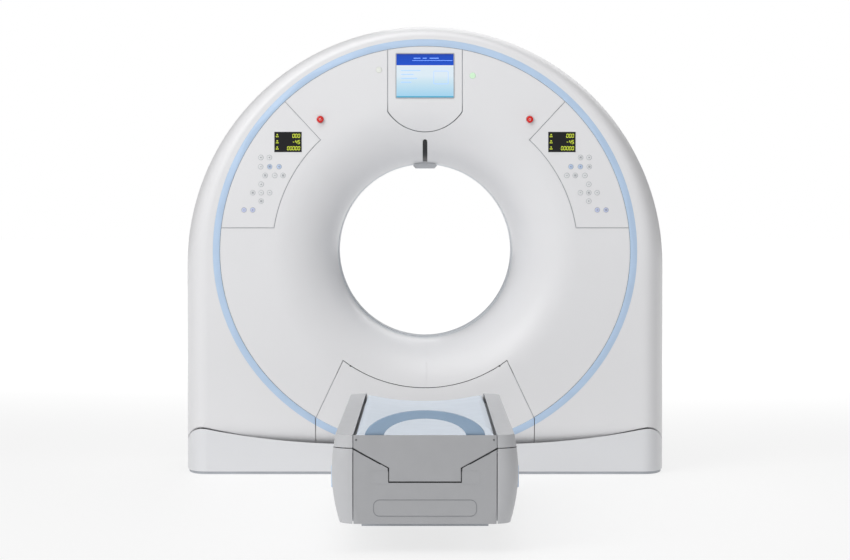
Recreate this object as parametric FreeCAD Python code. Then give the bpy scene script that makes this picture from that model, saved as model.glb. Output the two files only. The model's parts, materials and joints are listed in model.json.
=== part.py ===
import FreeCAD, Part
import math
import os
from FreeCAD import Vector

# A floor-standing CT scanner: a tilting gantry with its turning scan rotor, and the
# patient couch in front of it. Millimetres. X is to the right, Y runs along the bore
# from the couch to the gantry's rear, Z is up. The origin is on the floor, right
# under the isocentre, which is the middle of the bore and lies on the tilt axis.

# ---- driving dimensions: gantry ----
ISO = 970.0                 # height of the bore's centre and of the tilt axis
APERTURE = 390.0            # radius of the bore
FACE = 460.0                # half of the gantry's depth
HALF_WIDTH = 1050.0         # half of its width, and the radius of its crown
CROWN = 908.0               # height of the crown's centre
FACE_HALF_WIDTH = 945.0     # half width of the flat front face
FACE_CROWN = 962.0          # height of the centre of the face's round top
BULGE = 230.0               # depth at which the sides reach the full width
SKIN = 6.0                  # thickness of the gantry's covers
SEAM = 1.5                  # half of the gap between two covers

NECK = 190.0                # half length of the straight bore
WINDOW = 35.0               # half width of the scan window in the bore

RAKE_Y, RAKE_Z = 190.0, 180.0     # the face's lower edge is rounded by this much
RAKE_TOP = 240.0            # height where the rounding begins

SWEEP = 948.0               # radius about the tilt axis of the body's underside
SWEEP_FLAT = 300.0          # half width over which that radius is constant
SWEEP_BEND = 3800.0         # radius by which it falls away towards the sides
CRADLE_GAP = 8.0            # gap between the tilting body and the base

RING_IN, RING_OUT = 893.0, 923.0  # the coloured ring on the face
RING_FALL = 41.0            # how much flatter the ring's lower half is
TRIM = 3.0                  # thickness of the ring's inlay

# ---- driving dimensions: panels on the face, from the bore's centre ----
PANEL_RADIUS = 665.0        # inner arc of the control panels
PANEL_FLOOR = 104.0         # their lower edge
PANEL_ANGLE = 47.0          # their upper edge, degrees above the horizontal
LOW_ARC = 593.0             # upper arc of the lower panel
LOW_TOP, LOW_KNEE = 357.0, 477.0      # its half width at the arc and at the ring
LOW_KNEE_Z = -727.0
MONITOR_HALF = 162.0        # half width of the monitor panel
MONITOR_FOOT, MONITOR_TIP = 609.0, 522.0
SCREEN = (124.0, 670.0, 859.0)        # half width, foot and head of the screen
LED_WINDOW = (595.0, 477.0, 120.0, 89.0)   # place, then width and height
KEY_RADIUS = 11.5
KEY_ROWS = ((410.0, (-713.0, -676.0)), (370.0, (-714.0, -675.0, -634.0)),
            (332.0, (-695.0, -653.0, -617.0)), (293.5, (-712.0,)),
            (257.0, (-748.5, -712.0, -675.5)), (220.5, (-712.0,)), (182.0, (-787.0, -749.0)))
KEYS = [(x, z) for z, row in KEY_ROWS for x in row]
ESTOP = (455.0, 575.0)      # place of the emergency stops
ESTOP_RADIUS, ESTOP_TRAVEL = 14.5, 4.0
LAMPS = ((-200.0, 790.0), (207.0, 765.0))

# ---- driving dimensions: inside the gantry ----
STAND_X = (868.0, 928.0)    # inner and outer face of each tilt stand
STAND_FOOT, STAND_HEAD = 58.0, 105.0  # its half width at the base and at the bearing
TRUNNION = 45.0             # radius of the tilt shafts
RUN = 0.3                   # running clearance
ROTOR_IN, ROTOR_OUT = 415.0, 775.0
ROTOR_FRONT, ROTOR_PLATE, ROTOR_BACK = -150.0, 65.0, 95.0
RACE_IN, RACE_OUT = 575.0, 660.0
RACE_BACK = 145.0           # rear face of the slewing bearing
FRAME_PLATE = 40.0          # thickness of the tilt frame
PULLEY = 55.0
PULLEY_ANGLE, PULLEY_REACH = 42.0, 852.0
BELT = (-110.0, -70.0)      # from front to back
BELT_THICK = 4.0

COVER_POSTS = (60, 120, 228, 312)     # where the covers' frame stands off, degrees
RACE_SPLIT = 618.0          # where the slewing bearing's two rings meet
MOTOR, SHAFT, SHAFT_HOLE = 82.0, 15.0, 18.0
FAN, FAN_X, FAN_Z = 88.0, 330.0, 690.0
FLOOR_PLATE = 12.0          # thickness of both floor plates
ANCHOR_X = (-780.0, 780.0)  # the gantry's floor anchors
ANCHOR_Y = (-330.0, 330.0)
ANCHOR_HOLE = 14.0
COUCH_ANCHOR_X = (-180.0, 180.0)
COUCH_ANCHOR_HOLE = 9.0
DUCT_HALF, DUCT_HIGH, DUCT_WALL = 110.0, 38.0, 6.0

# ---- driving dimensions: couch ----
COUCH_GAP = 650.0           # from the gantry's face to the couch
COUCH_LENGTH = 2050.0
COUCH_LOW, COUCH_TOP = 98.0, 398.0    # lower and upper edge of the covers
COUCH_FOOT, COUCH_WIDE, COUCH_CREST = 290.0, 316.0, 303.0   # half widths, going up
COUCH_CORNER = 72.0
PLINTH_INSET = 70.0         # how far its plinth stands back from the head end
CARRIER_X = (150.0, 190.0)  # beams from the plinth to the foot end
CARRIER_HIGH = 42.0
COUCH_SKIN = 4.0
COUCH_SEAM = 1.5
SPLIT = 354.0               # height where the rising cover meets the lower one
TONGUE = ((243.0, 354.0), (216.0, 339.0), (122.0, 287.0), (122.0, 241.0))
END_PANEL = 243.0           # half width of the foot end panel
TABLE_HALF = 235.0
TABLE_TOP, TABLE_DIP = 378.0, 26.0
TABLE_UNDER = 340.0
MAT = 14.0
LIFT = 566.0                # from the lowest to the highest position
STROKE = 1600.0             # travel of the tabletop into the bore
RAIL_X, RAIL_HALF = 118.0, 12.0       # place and half width of the table's rails
TABLE_MOTOR = 420.0         # from the frame's head end to the table's motor
ARCH_OUT, ARCH_IN = (204.0, 88.0), (140.0, 61.0)
SKIRTS = (278.0, 271.0, 264.0)        # outer half widths of the telescoping skirts
SKIRT_WALL = 2.5
SKIRT_LOW, SKIRT_TOP = 104.0, 320.0
ARM_LENGTH = 1000.0         # between the end pins of a scissor arm
LIFT_SETBACK = 120.0        # from the plinth's head end to the fixed pins
PLINTH_TAIL = 92.0          # from the rollers to the plinth's foot end
PIN_RISE = 167.0            # from the lower to the upper pins when the couch is down
PIN = 12.0                  # radius of the pins
ARM_HALF = 22.0
ARM_A, ARM_B = (205.0, 220.0), (225.0, 240.0)   # where the arms lie across the couch
PIVOT_Z = 110.0             # height of the lower pins
SCREW_Z = 62.0

COUCH_HEAD_Y = -FACE - COUCH_GAP
COUCH_FOOT_Y = COUCH_HEAD_Y - COUCH_LENGTH
COUCH_MID_Y = COUCH_HEAD_Y - COUCH_LENGTH / 2
ARM_RUN = math.sqrt(ARM_LENGTH ** 2 - PIN_RISE ** 2)
PIVOT_Y = COUCH_HEAD_Y - PLINTH_INSET - LIFT_SETBACK
ROLLER_Y = PIVOT_Y - ARM_RUN
ROLLER_TRAVEL = ARM_RUN - math.sqrt(ARM_LENGTH ** 2 - (PIN_RISE + LIFT) ** 2)
PLINTH_FOOT_Y = ROLLER_Y - PLINTH_TAIL


SLIVER = 50.0               # volume under which a cut's leftover isn't a piece


# ---- helpers ----
def at(x, y, z):
    return Vector(x, y, z)


def box(x0, x1, y0, y1, z0, z1):
    return Part.makeBox(x1 - x0, y1 - y0, z1 - z0, at(x0, y0, z0))


def rod_x(radius, x0, x1, y, z):
    return Part.makeCylinder(radius, x1 - x0, at(x0, y, z), at(1, 0, 0))


def rod_y(radius, y0, y1, x=0.0, z=ISO):
    return Part.makeCylinder(radius, y1 - y0, at(x, y0, z), at(0, 1, 0))


def rod_z(radius, z0, z1, x, y):
    return Part.makeCylinder(radius, z1 - z0, at(x, y, z0), at(0, 0, 1))


def tube_y(outer, inner, y0, y1, x=0.0, z=ISO):
    return rod_y(outer, y0, y1, x, z).cut(rod_y(inner, y0 - 1, y1 + 1, x, z))


def tube_x(outer, inner, x0, x1, y, z):
    return rod_x(outer, x0, x1, y, z).cut(rod_x(inner, x0 - 1, x1 + 1, y, z))


def line(a, b):
    return Part.LineSegment(a, b).toShape()


def arc(a, b, c):
    return Part.Arc(a, b, c).toShape()


def prism(edges, direction):
    return Part.Face(Part.Wire(Part.__sortEdges__(edges))).extrude(direction)


def polygon_prism(points, direction):
    return Part.Face(Part.makePolygon(list(points) + [points[0]])).extrude(direction)


def mirrored(shape):
    return shape.mirror(at(0, 0, 0), at(1, 0, 0))


def both_sides(shape):
    return [shape, mirrored(shape)]


def spun(shape, degrees):
    """Turn a shape about the bore's axis; 0 is at the right, 90 at the top."""
    turned = shape.copy()
    turned.rotate(at(0, 0, ISO), at(0, 1, 0), -degrees)
    return turned


def save(name, pieces):
    pieces = pieces if isinstance(pieces, list) else [pieces]
    solids = [solid for piece in pieces for solid in piece.Solids if solid.Volume > SLIVER]
    shape = solids[0] if len(solids) == 1 else Part.makeCompound(solids)
    shape.exportStep("parts/" + name + ".step")
    print(name, len(solids), round(shape.Volume / 1e6, 3), shape.isValid())


# ---- the gantry's outer form ----
def arch_wire(half, crown, y):
    """Section of the body: straight sides under a round top."""
    low = -60.0
    edges = [line(at(-half, y, low), at(-half, y, crown)),
             arc(at(-half, y, crown), at(0, y, crown + half), at(half, y, crown)),
             line(at(half, y, crown), at(half, y, low)),
             line(at(half, y, low), at(-half, y, low))]
    return Part.Wire(edges)


def arch_loft(inset):
    """The full body, its rim swelling from the flat face to the widest section."""
    sections = []
    steps = 4
    for step in range(steps + 1):
        turn = math.radians(90.0 * step / steps)
        grow = math.sin(turn) ** 0.8
        half = FACE_HALF_WIDTH + (HALF_WIDTH - FACE_HALF_WIDTH) * grow - inset
        crown = FACE_CROWN + (CROWN - FACE_CROWN) * grow
        depth = BULGE + (FACE - inset - BULGE) * math.cos(turn)
        sections.append(arch_wire(half, crown, -depth))
    front = Part.makeLoft(sections, True, False)
    rear = front.mirror(at(0, 0, 0), at(0, 1, 0))
    middle = Part.Face(sections[-1]).extrude(at(0, 2 * BULGE, 0))
    return front.fuse([middle, rear]).removeSplitter()


def raked_slab(inset, floor):
    """Side outline of the body: flat faces whose lower edges are rounded inwards."""
    wide = 1100.0
    centre = FACE - RAKE_Y
    top = 2100.0
    edges = []
    for side in (-1, 1):
        hub = at(-wide, side * centre, RAKE_TOP)
        start = hub + at(0, side * (RAKE_Y - inset), 0)
        end = hub + at(0, 0, -(RAKE_Z - inset))
        major, minor = (start, end) if RAKE_Y >= RAKE_Z else (end, start)
        curve = Part.Ellipse(major, minor, hub)
        edges.append(Part.ArcOfEllipse(curve, 0, math.pi / 2).toShape())
        edges.append(line(start, at(-wide, start.y, top)))
        edges.append(line(end, at(-wide, end.y, floor)))
    near, far = centre, FACE - inset
    edges.append(line(at(-wide, -far, top), at(-wide, far, top)))
    edges.append(line(at(-wide, -near, floor), at(-wide, near, floor)))
    return prism(edges, at(2 * wide, 0, 0))


def barrel(gap):
    """Everything within the sweep of the tilting body's underside."""
    radius = SWEEP + gap
    wide = 1150.0
    bend = SWEEP_BEND + gap

    def reach(x):
        beyond = max(abs(x) - SWEEP_FLAT, 0.0)
        return radius - bend + math.sqrt(bend ** 2 - beyond ** 2)

    def spot(x):
        return at(x, 0, ISO - reach(x))

    between = (SWEEP_FLAT + wide) / 2
    edges = [line(at(-wide, 0, ISO), at(wide, 0, ISO)),
             line(at(wide, 0, ISO), spot(wide)),
             arc(spot(wide), spot(between), spot(SWEEP_FLAT)),
             line(spot(SWEEP_FLAT), spot(-SWEEP_FLAT)),
             arc(spot(-SWEEP_FLAT), spot(-between), spot(-wide)),
             line(spot(-wide), at(-wide, 0, ISO))]
    round_part = Part.Face(Part.Wire(edges)).revolve(at(0, 0, ISO), at(1, 0, 0), 360)
    return round_part.fuse(box(-wide, wide, -FACE - 40, FACE + 40, ISO, 2200))


def funnel(grow):
    """The bore and the flares at both of its ends, larger all round by grow."""
    bend = FACE - NECK - grow
    hub = APERTURE + (FACE - NECK)
    over = FACE + 30.0
    diagonal = bend * math.sqrt(0.5)

    def spot(radius, y):
        return at(radius, y, ISO)

    inner = hub - bend
    edges = [line(spot(0, -over), spot(hub, -over)),
             line(spot(hub, -over), spot(hub, -NECK - bend)),
             arc(spot(hub, -NECK - bend), spot(hub - diagonal, -NECK - diagonal),
                 spot(inner, -NECK)),
             line(spot(inner, -NECK), spot(inner, NECK)),
             arc(spot(inner, NECK), spot(hub - diagonal, NECK + diagonal),
                 spot(hub, NECK + bend)),
             line(spot(hub, NECK + bend), spot(hub, over)),
             line(spot(hub, over), spot(0, over)),
             line(spot(0, over), spot(0, -over))]
    face = Part.Face(Part.Wire(edges))
    return face.revolve(at(0, 0, ISO), at(0, 1, 0), 360)


# ---- outlines on the gantry's face, as prisms from front to back ----
def oval(radius, front=-FACE - 20, back=-NECK + 1):
    """Round above the bore's centre, a little flatter below it."""
    middle = at(0, front, ISO)
    fall = radius - RING_FALL
    upper = arc(middle + at(-radius, 0, 0), middle + at(0, 0, radius), middle + at(radius, 0, 0))
    curve = Part.Ellipse(middle + at(radius, 0, 0), middle + at(0, 0, -fall), middle)
    lower = Part.ArcOfEllipse(curve, 0, math.pi).toShape()
    return prism([upper, lower], at(0, back - front, 0))


def lower_outline(grow, front=-FACE - 20, back=-NECK + 1):
    """The lower panel: an arc above, then wider down to the ring, then straight."""
    low = -990.0
    arc_radius = LOW_ARC + grow
    top = -math.sqrt(LOW_ARC ** 2 - LOW_TOP ** 2)
    points = [at(-LOW_TOP - grow, front, ISO + top),
              at(-LOW_KNEE - grow, front, ISO + LOW_KNEE_Z),
              at(-LOW_KNEE - grow, front, ISO + low),
              at(LOW_KNEE + grow, front, ISO + low),
              at(LOW_KNEE + grow, front, ISO + LOW_KNEE_Z),
              at(LOW_TOP + grow, front, ISO + top),
              at(LOW_TOP * 0.6, front, ISO), at(-LOW_TOP * 0.6, front, ISO)]
    wedge = polygon_prism(points, at(0, back - front, 0))
    return wedge.cut(rod_y(arc_radius - 2 * grow, front - 1, back + 1))


def control_outline(grow):
    """Left control panel: from its inner arc out to the ring."""
    front, back = -FACE - 20, -NECK + 1
    slope = math.radians(180 - PANEL_ANGLE)
    far = 1500.0
    lift = grow / math.cos(slope - math.pi / 2)
    start = at(0, front, ISO + PANEL_FLOOR - grow)
    tip = at(far * math.cos(slope), front, ISO + far * math.sin(slope) + lift)
    points = [at(0, front, ISO + lift), tip, at(-far, front, ISO + far), at(-far, front, start.z), start]
    wedge = polygon_prism(points, at(0, back - front, 0))
    return wedge.cut(rod_y(PANEL_RADIUS - grow, front - 1, back + 1))


def monitor_outline(grow):
    """Monitor panel: straight sides over a shallow round foot."""
    front, back = -FACE - 20, -NECK + 1
    half = MONITOR_HALF + grow
    top = ISO + 1100.0
    foot, tip = ISO + MONITOR_FOOT - grow, ISO + MONITOR_TIP - grow
    edges = [line(at(-half, front, foot), at(-half, front, top)),
             line(at(-half, front, top), at(half, front, top)),
             line(at(half, front, top), at(half, front, foot)),
             arc(at(half, front, foot), at(0, front, tip), at(-half, front, foot))]
    return prism(edges, at(0, back - front, 0))


def plate(x, z, width, height, y0, y1):
    """A rectangular plate on the face, placed from the bore's centre."""
    return box(x - width / 2, x + width / 2, y0, y1, ISO + z - height / 2, ISO + z + height / 2)


def build_covers():
    envelope = barrel(0)
    outer = arch_loft(0).common(raked_slab(0, 40)).common(envelope)
    inner = arch_loft(SKIN).common(raked_slab(SKIN, -60))
    under_trim = arch_loft(TRIM).common(raked_slab(TRIM, -60))
    solid = outer.cut(funnel(0))
    skin = solid.cut(inner.cut(funnel(SKIN)))
    liner_zone = rod_y(APERTURE + 60, -NECK, NECK)
    skin = skin.cut(liner_zone)
    wide = 1200.0
    hem = RAKE_TOP - RAKE_Z + 20
    front_half = box(-wide, wide, -FACE - 5, -SEAM, hem, 2200)
    rear_half = box(-wide, wide, SEAM, FACE + 5, hem, 2200)
    front, rear = skin.common(front_half), skin.common(rear_half)

    band = oval(RING_OUT).cut(oval(RING_IN, -FACE - 30, 0))
    inlay = solid.cut(under_trim).common(band)
    face_zone = oval(RING_IN)
    low_in, low_out = lower_outline(-SEAM), lower_outline(SEAM, -FACE - 25, 0)

    rim = front.cut(oval(RING_IN + SEAM, -FACE - 30, 0))
    save("front_shell", rim.cut([inlay, low_out]))
    save("lower_panel", front.common(low_in).cut(inlay))
    save("ring_trim", [inlay.cut(low_out), inlay.common(low_in)])

    face = front.common(oval(RING_IN - SEAM, -FACE - 20, -NECK + 5))
    cuts = [low_out, control_outline(SEAM), mirrored(control_outline(SEAM)), monitor_outline(SEAM)]
    slot = laser_slot(0.5)
    holes = [rod_y(ESTOP_RADIUS + 6, -FACE - 5, -FACE + 20, side * ESTOP[0], ISO + ESTOP[1])
             for side in (-1, 1)]
    holes += [rod_y(13.5, -FACE - 5, -FACE + 20, x, ISO + z) for x, z in LAMPS]
    save("front_cover", face.cut(cuts + [slot] + holes))

    window = plate(-LED_WINDOW[0], LED_WINDOW[1], LED_WINDOW[2] + 1, LED_WINDOW[3] + 1,
                   -FACE - 5, -FACE + 20)
    left_panel = face.common(control_outline(-SEAM)).cut(window)
    save("control_panels", both_sides(left_panel))
    screen_hole = box(-SCREEN[0] - 0.5, SCREEN[0] + 0.5, -FACE - 5, -FACE + 20,
                      ISO + SCREEN[1] - 0.5, ISO + SCREEN[2] + 0.5)
    save("monitor_panel", face.common(monitor_outline(-SEAM)).cut(screen_hole))
    save("laser_window", laser_slot(0).common(front))

    rear_face = rod_y(RING_IN, NECK - 1, FACE + 5)
    rear_cut = rod_y(RING_IN + 2 * SEAM, NECK - 1, FACE + 6)
    save("rear_cover", rear.common(rear_face))
    save("rear_shell", rear.cut(rear_cut))


def laser_slot(grow):
    """Upright slot in the funnel over the bore, round at its upper end."""
    half = 10.0 + grow
    head = ISO + APERTURE + 90.0
    foot = ISO + APERTURE + 6.0 - grow
    front, back = -FACE - 10, -NECK - 4 + grow
    shaft = box(-half, half, front, back, foot, head)
    return shaft.fuse(rod_y(half, front, back, 0, head))


# ---- fittings on the face ----
def build_face_fittings():
    back = -FACE + SKIN
    hoop = tube_y(RING_IN + 14, APERTURE + FACE - NECK + 1, back, back + 6)
    above_rake = box(-1100, 1100, -FACE, FACE, RAKE_TOP + 4, 2200)
    hoop = hoop.common(above_rake).cut(frame_openings(back))
    rear_hoop = tube_y(RING_IN + 14, RING_IN - 34, -back - 6, -back).common(above_rake)
    race_back = RACE_BACK + FRAME_PLATE
    for angle in COVER_POSTS:
        hoop = hoop.fuse(spun(box(862, 884, back + 6, RACE_BACK, ISO - 11, ISO + 11), angle))
        rear_hoop = rear_hoop.fuse(
            spun(box(862, 884, race_back, -back - 6, ISO - 11, ISO + 11), angle))
    save("cover_frame", [hoop, rear_hoop])
    windows = [plate(side * LED_WINDOW[0], LED_WINDOW[1], LED_WINDOW[2], LED_WINDOW[3],
                     -FACE, back) for side in (-1, 1)]
    save("led_windows", windows)
    save("display_screen", box(-SCREEN[0], SCREEN[0], -FACE, back + 24,
                               ISO + SCREEN[1], ISO + SCREEN[2]))
    caps = [rod_y(KEY_RADIUS, -FACE - 0.8, -FACE, x, ISO + z) for x, z in KEYS]
    save("keys", caps + [mirrored(cap) for cap in caps])
    bezels, depth = [], 22.0
    for side, name in ((-1, "emergency_stop_left"), (1, "emergency_stop_right")):
        x, z = side * ESTOP[0], ISO + ESTOP[1]
        bezels.append(tube_y(ESTOP_RADIUS + 6, 8 + RUN, -FACE, -FACE + depth, x, z).fuse(
            tube_y(ESTOP_RADIUS + 6, ESTOP_RADIUS + 1, -FACE - 2, -FACE, x, z)))
        head = rod_y(ESTOP_RADIUS, -FACE - 14, -FACE - ESTOP_TRAVEL - 1, x, z)
        dome = Part.makeSphere(26, at(x, -FACE + 8, z)).common(head)
        button = dome.fuse(rod_y(8, -FACE - ESTOP_TRAVEL - 2, -FACE + depth, x, z))
        save(name, button)
    save("stop_bezels", bezels)
    save("status_lamps", [rod_y(13, -FACE - 1, back, x, ISO + z) for x, z in LAMPS])
    strip = box(-6, 6, -FACE - 2, 0, ISO - APERTURE - 187, ISO - APERTURE - 10)
    save("funnel_strip", strip.common(funnel(0)).cut(funnel(-2)))
    crown = ISO + APERTURE
    outline = [(-42, 1), (42, 1), (53, -12), (42, -24), (-42, -24), (-53, -12)]
    lozenge = polygon_prism([at(x, -NECK - 26, crown + z) for x, z in outline], at(0, 60, 0))
    save("patient_sensor", lozenge.common(rod_y(APERTURE, -FACE, 0)))


def frame_openings(back):
    """Places where the face's fittings reach through the frame behind it."""
    cuts = [box(-SCREEN[0] - 1, SCREEN[0] + 1, back - 5, back + 40, ISO + SCREEN[1] - 1,
                ISO + SCREEN[2] + 1)]
    for side in (-1, 1):
        cuts.append(rod_y(ESTOP_RADIUS + 7, back - 5, back + 40, side * ESTOP[0], ISO + ESTOP[1]))
    return cuts


# ---- the bore ----
def build_bore():
    spans = ((-NECK, -WINDOW), (WINDOW, NECK))
    save("bore_liners", [tube_y(APERTURE + 4, APERTURE, y0, y1) for y0, y1 in spans])
    save("scan_window", tube_y(APERTURE + 5.5, APERTURE + 4, -WINDOW - 8, WINDOW + 8))


# ---- fixed part of the gantry ----
def build_base():
    low, envelope = FLOOR_PLATE, barrel(CRADLE_GAP)
    whole = arch_loft(0).common(box(-1200, 1200, -FACE, FACE, 0, 300)).cut(envelope)
    hollow = arch_loft(SKIN).common(box(-1200, 1200, -FACE + SKIN, FACE - SKIN, -1, 300))
    skin = whole.cut(hollow)
    save("base_cover", [skin.common(box(-1200, 1200, y0, y1, low, 300))
                        for y0, y1 in ((-FACE, -SEAM), (SEAM, FACE))])
    floor_plate = arch_loft(SKIN).common(box(-1200, 1200, -FACE + SKIN, FACE - SKIN, 0, low))
    pads = [rod_z(ANCHOR_HOLE, -1, low + 1, x, y) for x in ANCHOR_X for y in ANCHOR_Y]
    frame = floor_plate.cut(pads)
    x0, x1 = STAND_X
    half_outline = ((STAND_FOOT, low), (STAND_FOOT, 190), (STAND_HEAD, 560),
                    (STAND_HEAD, ISO + 60), (60, ISO + STAND_HEAD))
    outline = [at(x0, y, z) for y, z in half_outline]
    outline += [at(x0, -y, z) for y, z in reversed(half_outline)]
    column = polygon_prism(outline, at(x1 - x0, 0, 0))
    foot = box(x0 - 20, x1 + 20, -STAND_FOOT - 60, STAND_FOOT + 60, low, low + 22)
    pocket = box(x0 + 14, x1 + 1, -STAND_HEAD + 45, STAND_HEAD - 45, 600, ISO - 110)
    stand = column.fuse(foot).cut([pocket, rod_x(TRUNNION + 25, x0 - 1, x1 + 1, 0, ISO)])
    save("gantry_base_frame", frame.fuse(both_sides(stand)))
    save("tilt_bearings", both_sides(tube_x(TRUNNION + 25, TRUNNION + RUN, x0, x1, 0, ISO)))
    drive = rod_x(70, -x1 - 46, -x1, 0, ISO).fuse(
        box(-x1 - 46, -x1, -48, 48, ISO - 190, ISO - 50)).fuse(
        rod_z(36, ISO - 330, ISO - 190, -x1 - 38, 0))
    save("tilt_drive", drive)
    duct_start = COUCH_HEAD_Y - PLINTH_INSET
    duct = box(-DUCT_HALF, DUCT_HALF, duct_start, -FACE, 0, DUCT_HIGH)
    hollow = DUCT_HALF - DUCT_WALL
    save("floor_duct", duct.cut(box(-hollow, hollow, duct_start - 1, -FACE + 1, -1,
                                    DUCT_HIGH - DUCT_WALL)))


# ---- tilting frame and the drives on it ----
def pulley_spot():
    turn = math.radians(PULLEY_ANGLE)
    return PULLEY_REACH * math.cos(turn), ISO + PULLEY_REACH * math.sin(turn)


def build_tilt_frame():
    back = RACE_BACK + FRAME_PLATE
    x, z = pulley_spot()
    ring = tube_y(770, 600, RACE_BACK, back)
    ear = rod_y(105, RACE_BACK, back, x, z)
    frame = ring.fuse(ear)
    reach = STAND_X[0] - 10
    for side in (-1, 1):
        inner, outer = sorted((side * (ROTOR_OUT + 15), side * reach))
        root, tip = sorted((side * 700, side * reach))
        frame = frame.fuse(box(root, tip, RACE_BACK, back, ISO - 130, ISO + 130))
        frame = frame.fuse(box(inner, outer, -70, back, ISO - 85, ISO + 85))
        start, end = sorted((side * reach, side * STAND_X[1]))
        frame = frame.fuse(rod_x(TRUNNION, start, end, 0, ISO))
    for angle in (60, 120, 180 + 62, 360 - 62):
        strut = box(690, 905, RACE_BACK, back, ISO - 28, ISO + 28)
        frame = frame.fuse(spun(strut, angle))
    brushes = spun(box(688, 742, ROTOR_BACK + 20, RACE_BACK, ISO - 70, ISO + 70), 150)
    save("tilt_frame", frame.fuse(brushes).cut(rod_y(SHAFT_HOLE, BELT[0], back + 1, x, z)))
    save("bearing_outer_race", tube_y(RACE_OUT, RACE_SPLIT, ROTOR_BACK + 6, RACE_BACK))
    motor = rod_y(MOTOR, back, back + 190, x, z).fuse(
        rod_y(MOTOR * 0.73, back + 190, back + 225, x, z))
    save("rotor_motor", motor.cut(rod_y(SHAFT_HOLE, back - 1, back + 60, x, z)))
    shaft = rod_y(SHAFT, BELT[0] - 6, back + 55, x, z)
    save("drive_pulley", shaft.fuse(rod_y(PULLEY, BELT[0] - 4, BELT[1] + 4, x, z)).fuse(
        rod_y(PULLEY + 8, BELT[1] + 4, BELT[1] + 9, x, z)))
    save("drive_belt", belt_loop(x, z))
    fans = []
    for side in (-1, 1):
        x, z, seat = side * FAN_X, ISO + FAN_Z, FACE - SKIN
        cage = tube_y(FAN, FAN - 10, seat - 60, seat, x, z)
        hub = rod_y(26, seat - 50, seat, x, z)
        arms = box(x - FAN + 9, x + FAN - 9, seat - 12, seat, z - 6, z + 6)
        fans.append(cage.fuse([hub, arms]))
    save("cooling_fans", fans)


def belt_loop(x, z):
    """The flat belt round the rotor's rim and the motor's pulley."""
    width = BELT[1] - BELT[0] - 4

    def hull(grow):
        big, small = ROTOR_OUT + RUN + grow, PULLEY + RUN + grow
        turn = math.radians(PULLEY_ANGLE)
        spread = math.acos((big - small) / PULLEY_REACH)
        points = []
        for radius, centre in ((big, at(0, 0, ISO)), (small, at(x, 0, z))):
            for sign in (1, -1):
                angle = turn + sign * spread
                points.append(centre + at(radius * math.cos(angle), 0, radius * math.sin(angle)))
        quad = [points[0], points[2], points[3], points[1]]
        strip = polygon_prism(quad, at(0, width, 0))
        return strip.fuse([rod_y(big, 0, width), rod_y(small, 0, width, x, z)])

    loop = hull(BELT_THICK).cut(hull(0))
    loop.translate(at(0, BELT[0] + 2, 0))
    return loop


# ---- the turning scan unit ----
def ring_block(inner, outer, y0, y1, centre, spread):
    """A block that follows the ring, spread degrees to each side of its centre."""
    ring = tube_y(outer, inner, y0, y1)
    reach = outer * 1.5
    side = math.radians(spread)
    wedge = polygon_prism([at(0, y0, ISO), at(reach * math.cos(side), y0, ISO + reach * math.sin(side)),
                           at(reach * 1.3, y0, ISO),
                           at(reach * math.cos(side), y0, ISO - reach * math.sin(side))],
                          at(0, y1 - y0, 0))
    return spun(ring.common(wedge), centre)


def build_rotor():
    front, plate_y, back = ROTOR_FRONT, ROTOR_PLATE, ROTOR_BACK
    drum = tube_y(ROTOR_OUT, ROTOR_IN, plate_y, back)
    drum = drum.fuse(tube_y(ROTOR_OUT, ROTOR_OUT - 14, front, plate_y))
    lip = tube_y(ROTOR_OUT + 6, ROTOR_OUT - 6, BELT[0] - 5, BELT[0] - 2)
    save("rotor_drum", drum.fuse(lip))
    save("bearing_inner_race", tube_y(RACE_SPLIT - 2 * RUN, RACE_IN, back, RACE_BACK - 5))
    save("slip_ring", tube_y(742, 690, back, back + 15))
    tube_body = spun(box(560, 720, plate_y - 185, plate_y, ISO - 130, ISO + 130), 90)
    save("xray_tube", tube_body.fuse(spun(rod_y(64, -140, plate_y - 150, 640, ISO), 90)))
    save("collimator", ring_block(432, 558, -110, plate_y, 90, 15))
    save("detector_array", ring_block(545, 640, -60, plate_y, 270, 31).fuse(
        ring_block(640, 735, -90, plate_y, 270, 28)))
    save("high_voltage_generator", ring_block(470, 740, -120, plate_y, 25, 21))
    save("heat_exchanger", ring_block(480, 735, -110, plate_y, 152, 17))
    save("rotor_computer", ring_block(500, 735, -80, plate_y, 205, 12))


# ---- couch covers ----
def rounded_wire(half, head, foot, corner, z):
    """Plan section of the couch: a rectangle with round corners."""
    edges = []
    diagonal = corner * math.sqrt(0.5)
    spots = []
    for sx, y, sy in ((1, head, 1), (-1, head, 1), (-1, foot, -1), (1, foot, -1)):
        hub = at(sx * (half - corner), y - sy * corner, z)
        side = hub + at(sx * corner, 0, 0)
        end = hub + at(0, sy * corner, 0)
        middle = hub + at(sx * diagonal, sy * diagonal, 0)
        spots.append((side, middle, end) if sx * sy > 0 else (end, middle, side))
    for number, (a, b, c) in enumerate(spots):
        edges.append(arc(a, b, c))
        edges.append(line(c, spots[(number + 1) % 4][0]))
    return Part.Wire(edges)


def couch_envelope(inset, low=COUCH_LOW, high=COUCH_TOP):
    """The couch's outer form: its sides swell a little between foot and crest."""
    sections = []
    for z in (low, COUCH_LOW + 70, COUCH_LOW + 140, COUCH_LOW + 205, COUCH_LOW + 262, high):
        rise = max(min((z - COUCH_LOW) / (COUCH_TOP - COUCH_LOW), 1.0), 0.0)
        chord = COUCH_FOOT + (COUCH_CREST - COUCH_FOOT) * rise
        swell = 4 * rise * (1 - rise) * (COUCH_WIDE - (COUCH_FOOT + COUCH_CREST) / 2)
        half = chord + swell - inset
        end = 12.0 * (1 - 4 * rise * (1 - rise)) * 0.5 + inset
        sections.append(rounded_wire(half, COUCH_HEAD_Y - end, COUCH_FOOT_Y + end,
                                     COUCH_CORNER - inset, z))
    return Part.makeLoft(sections, True, False)


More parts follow.
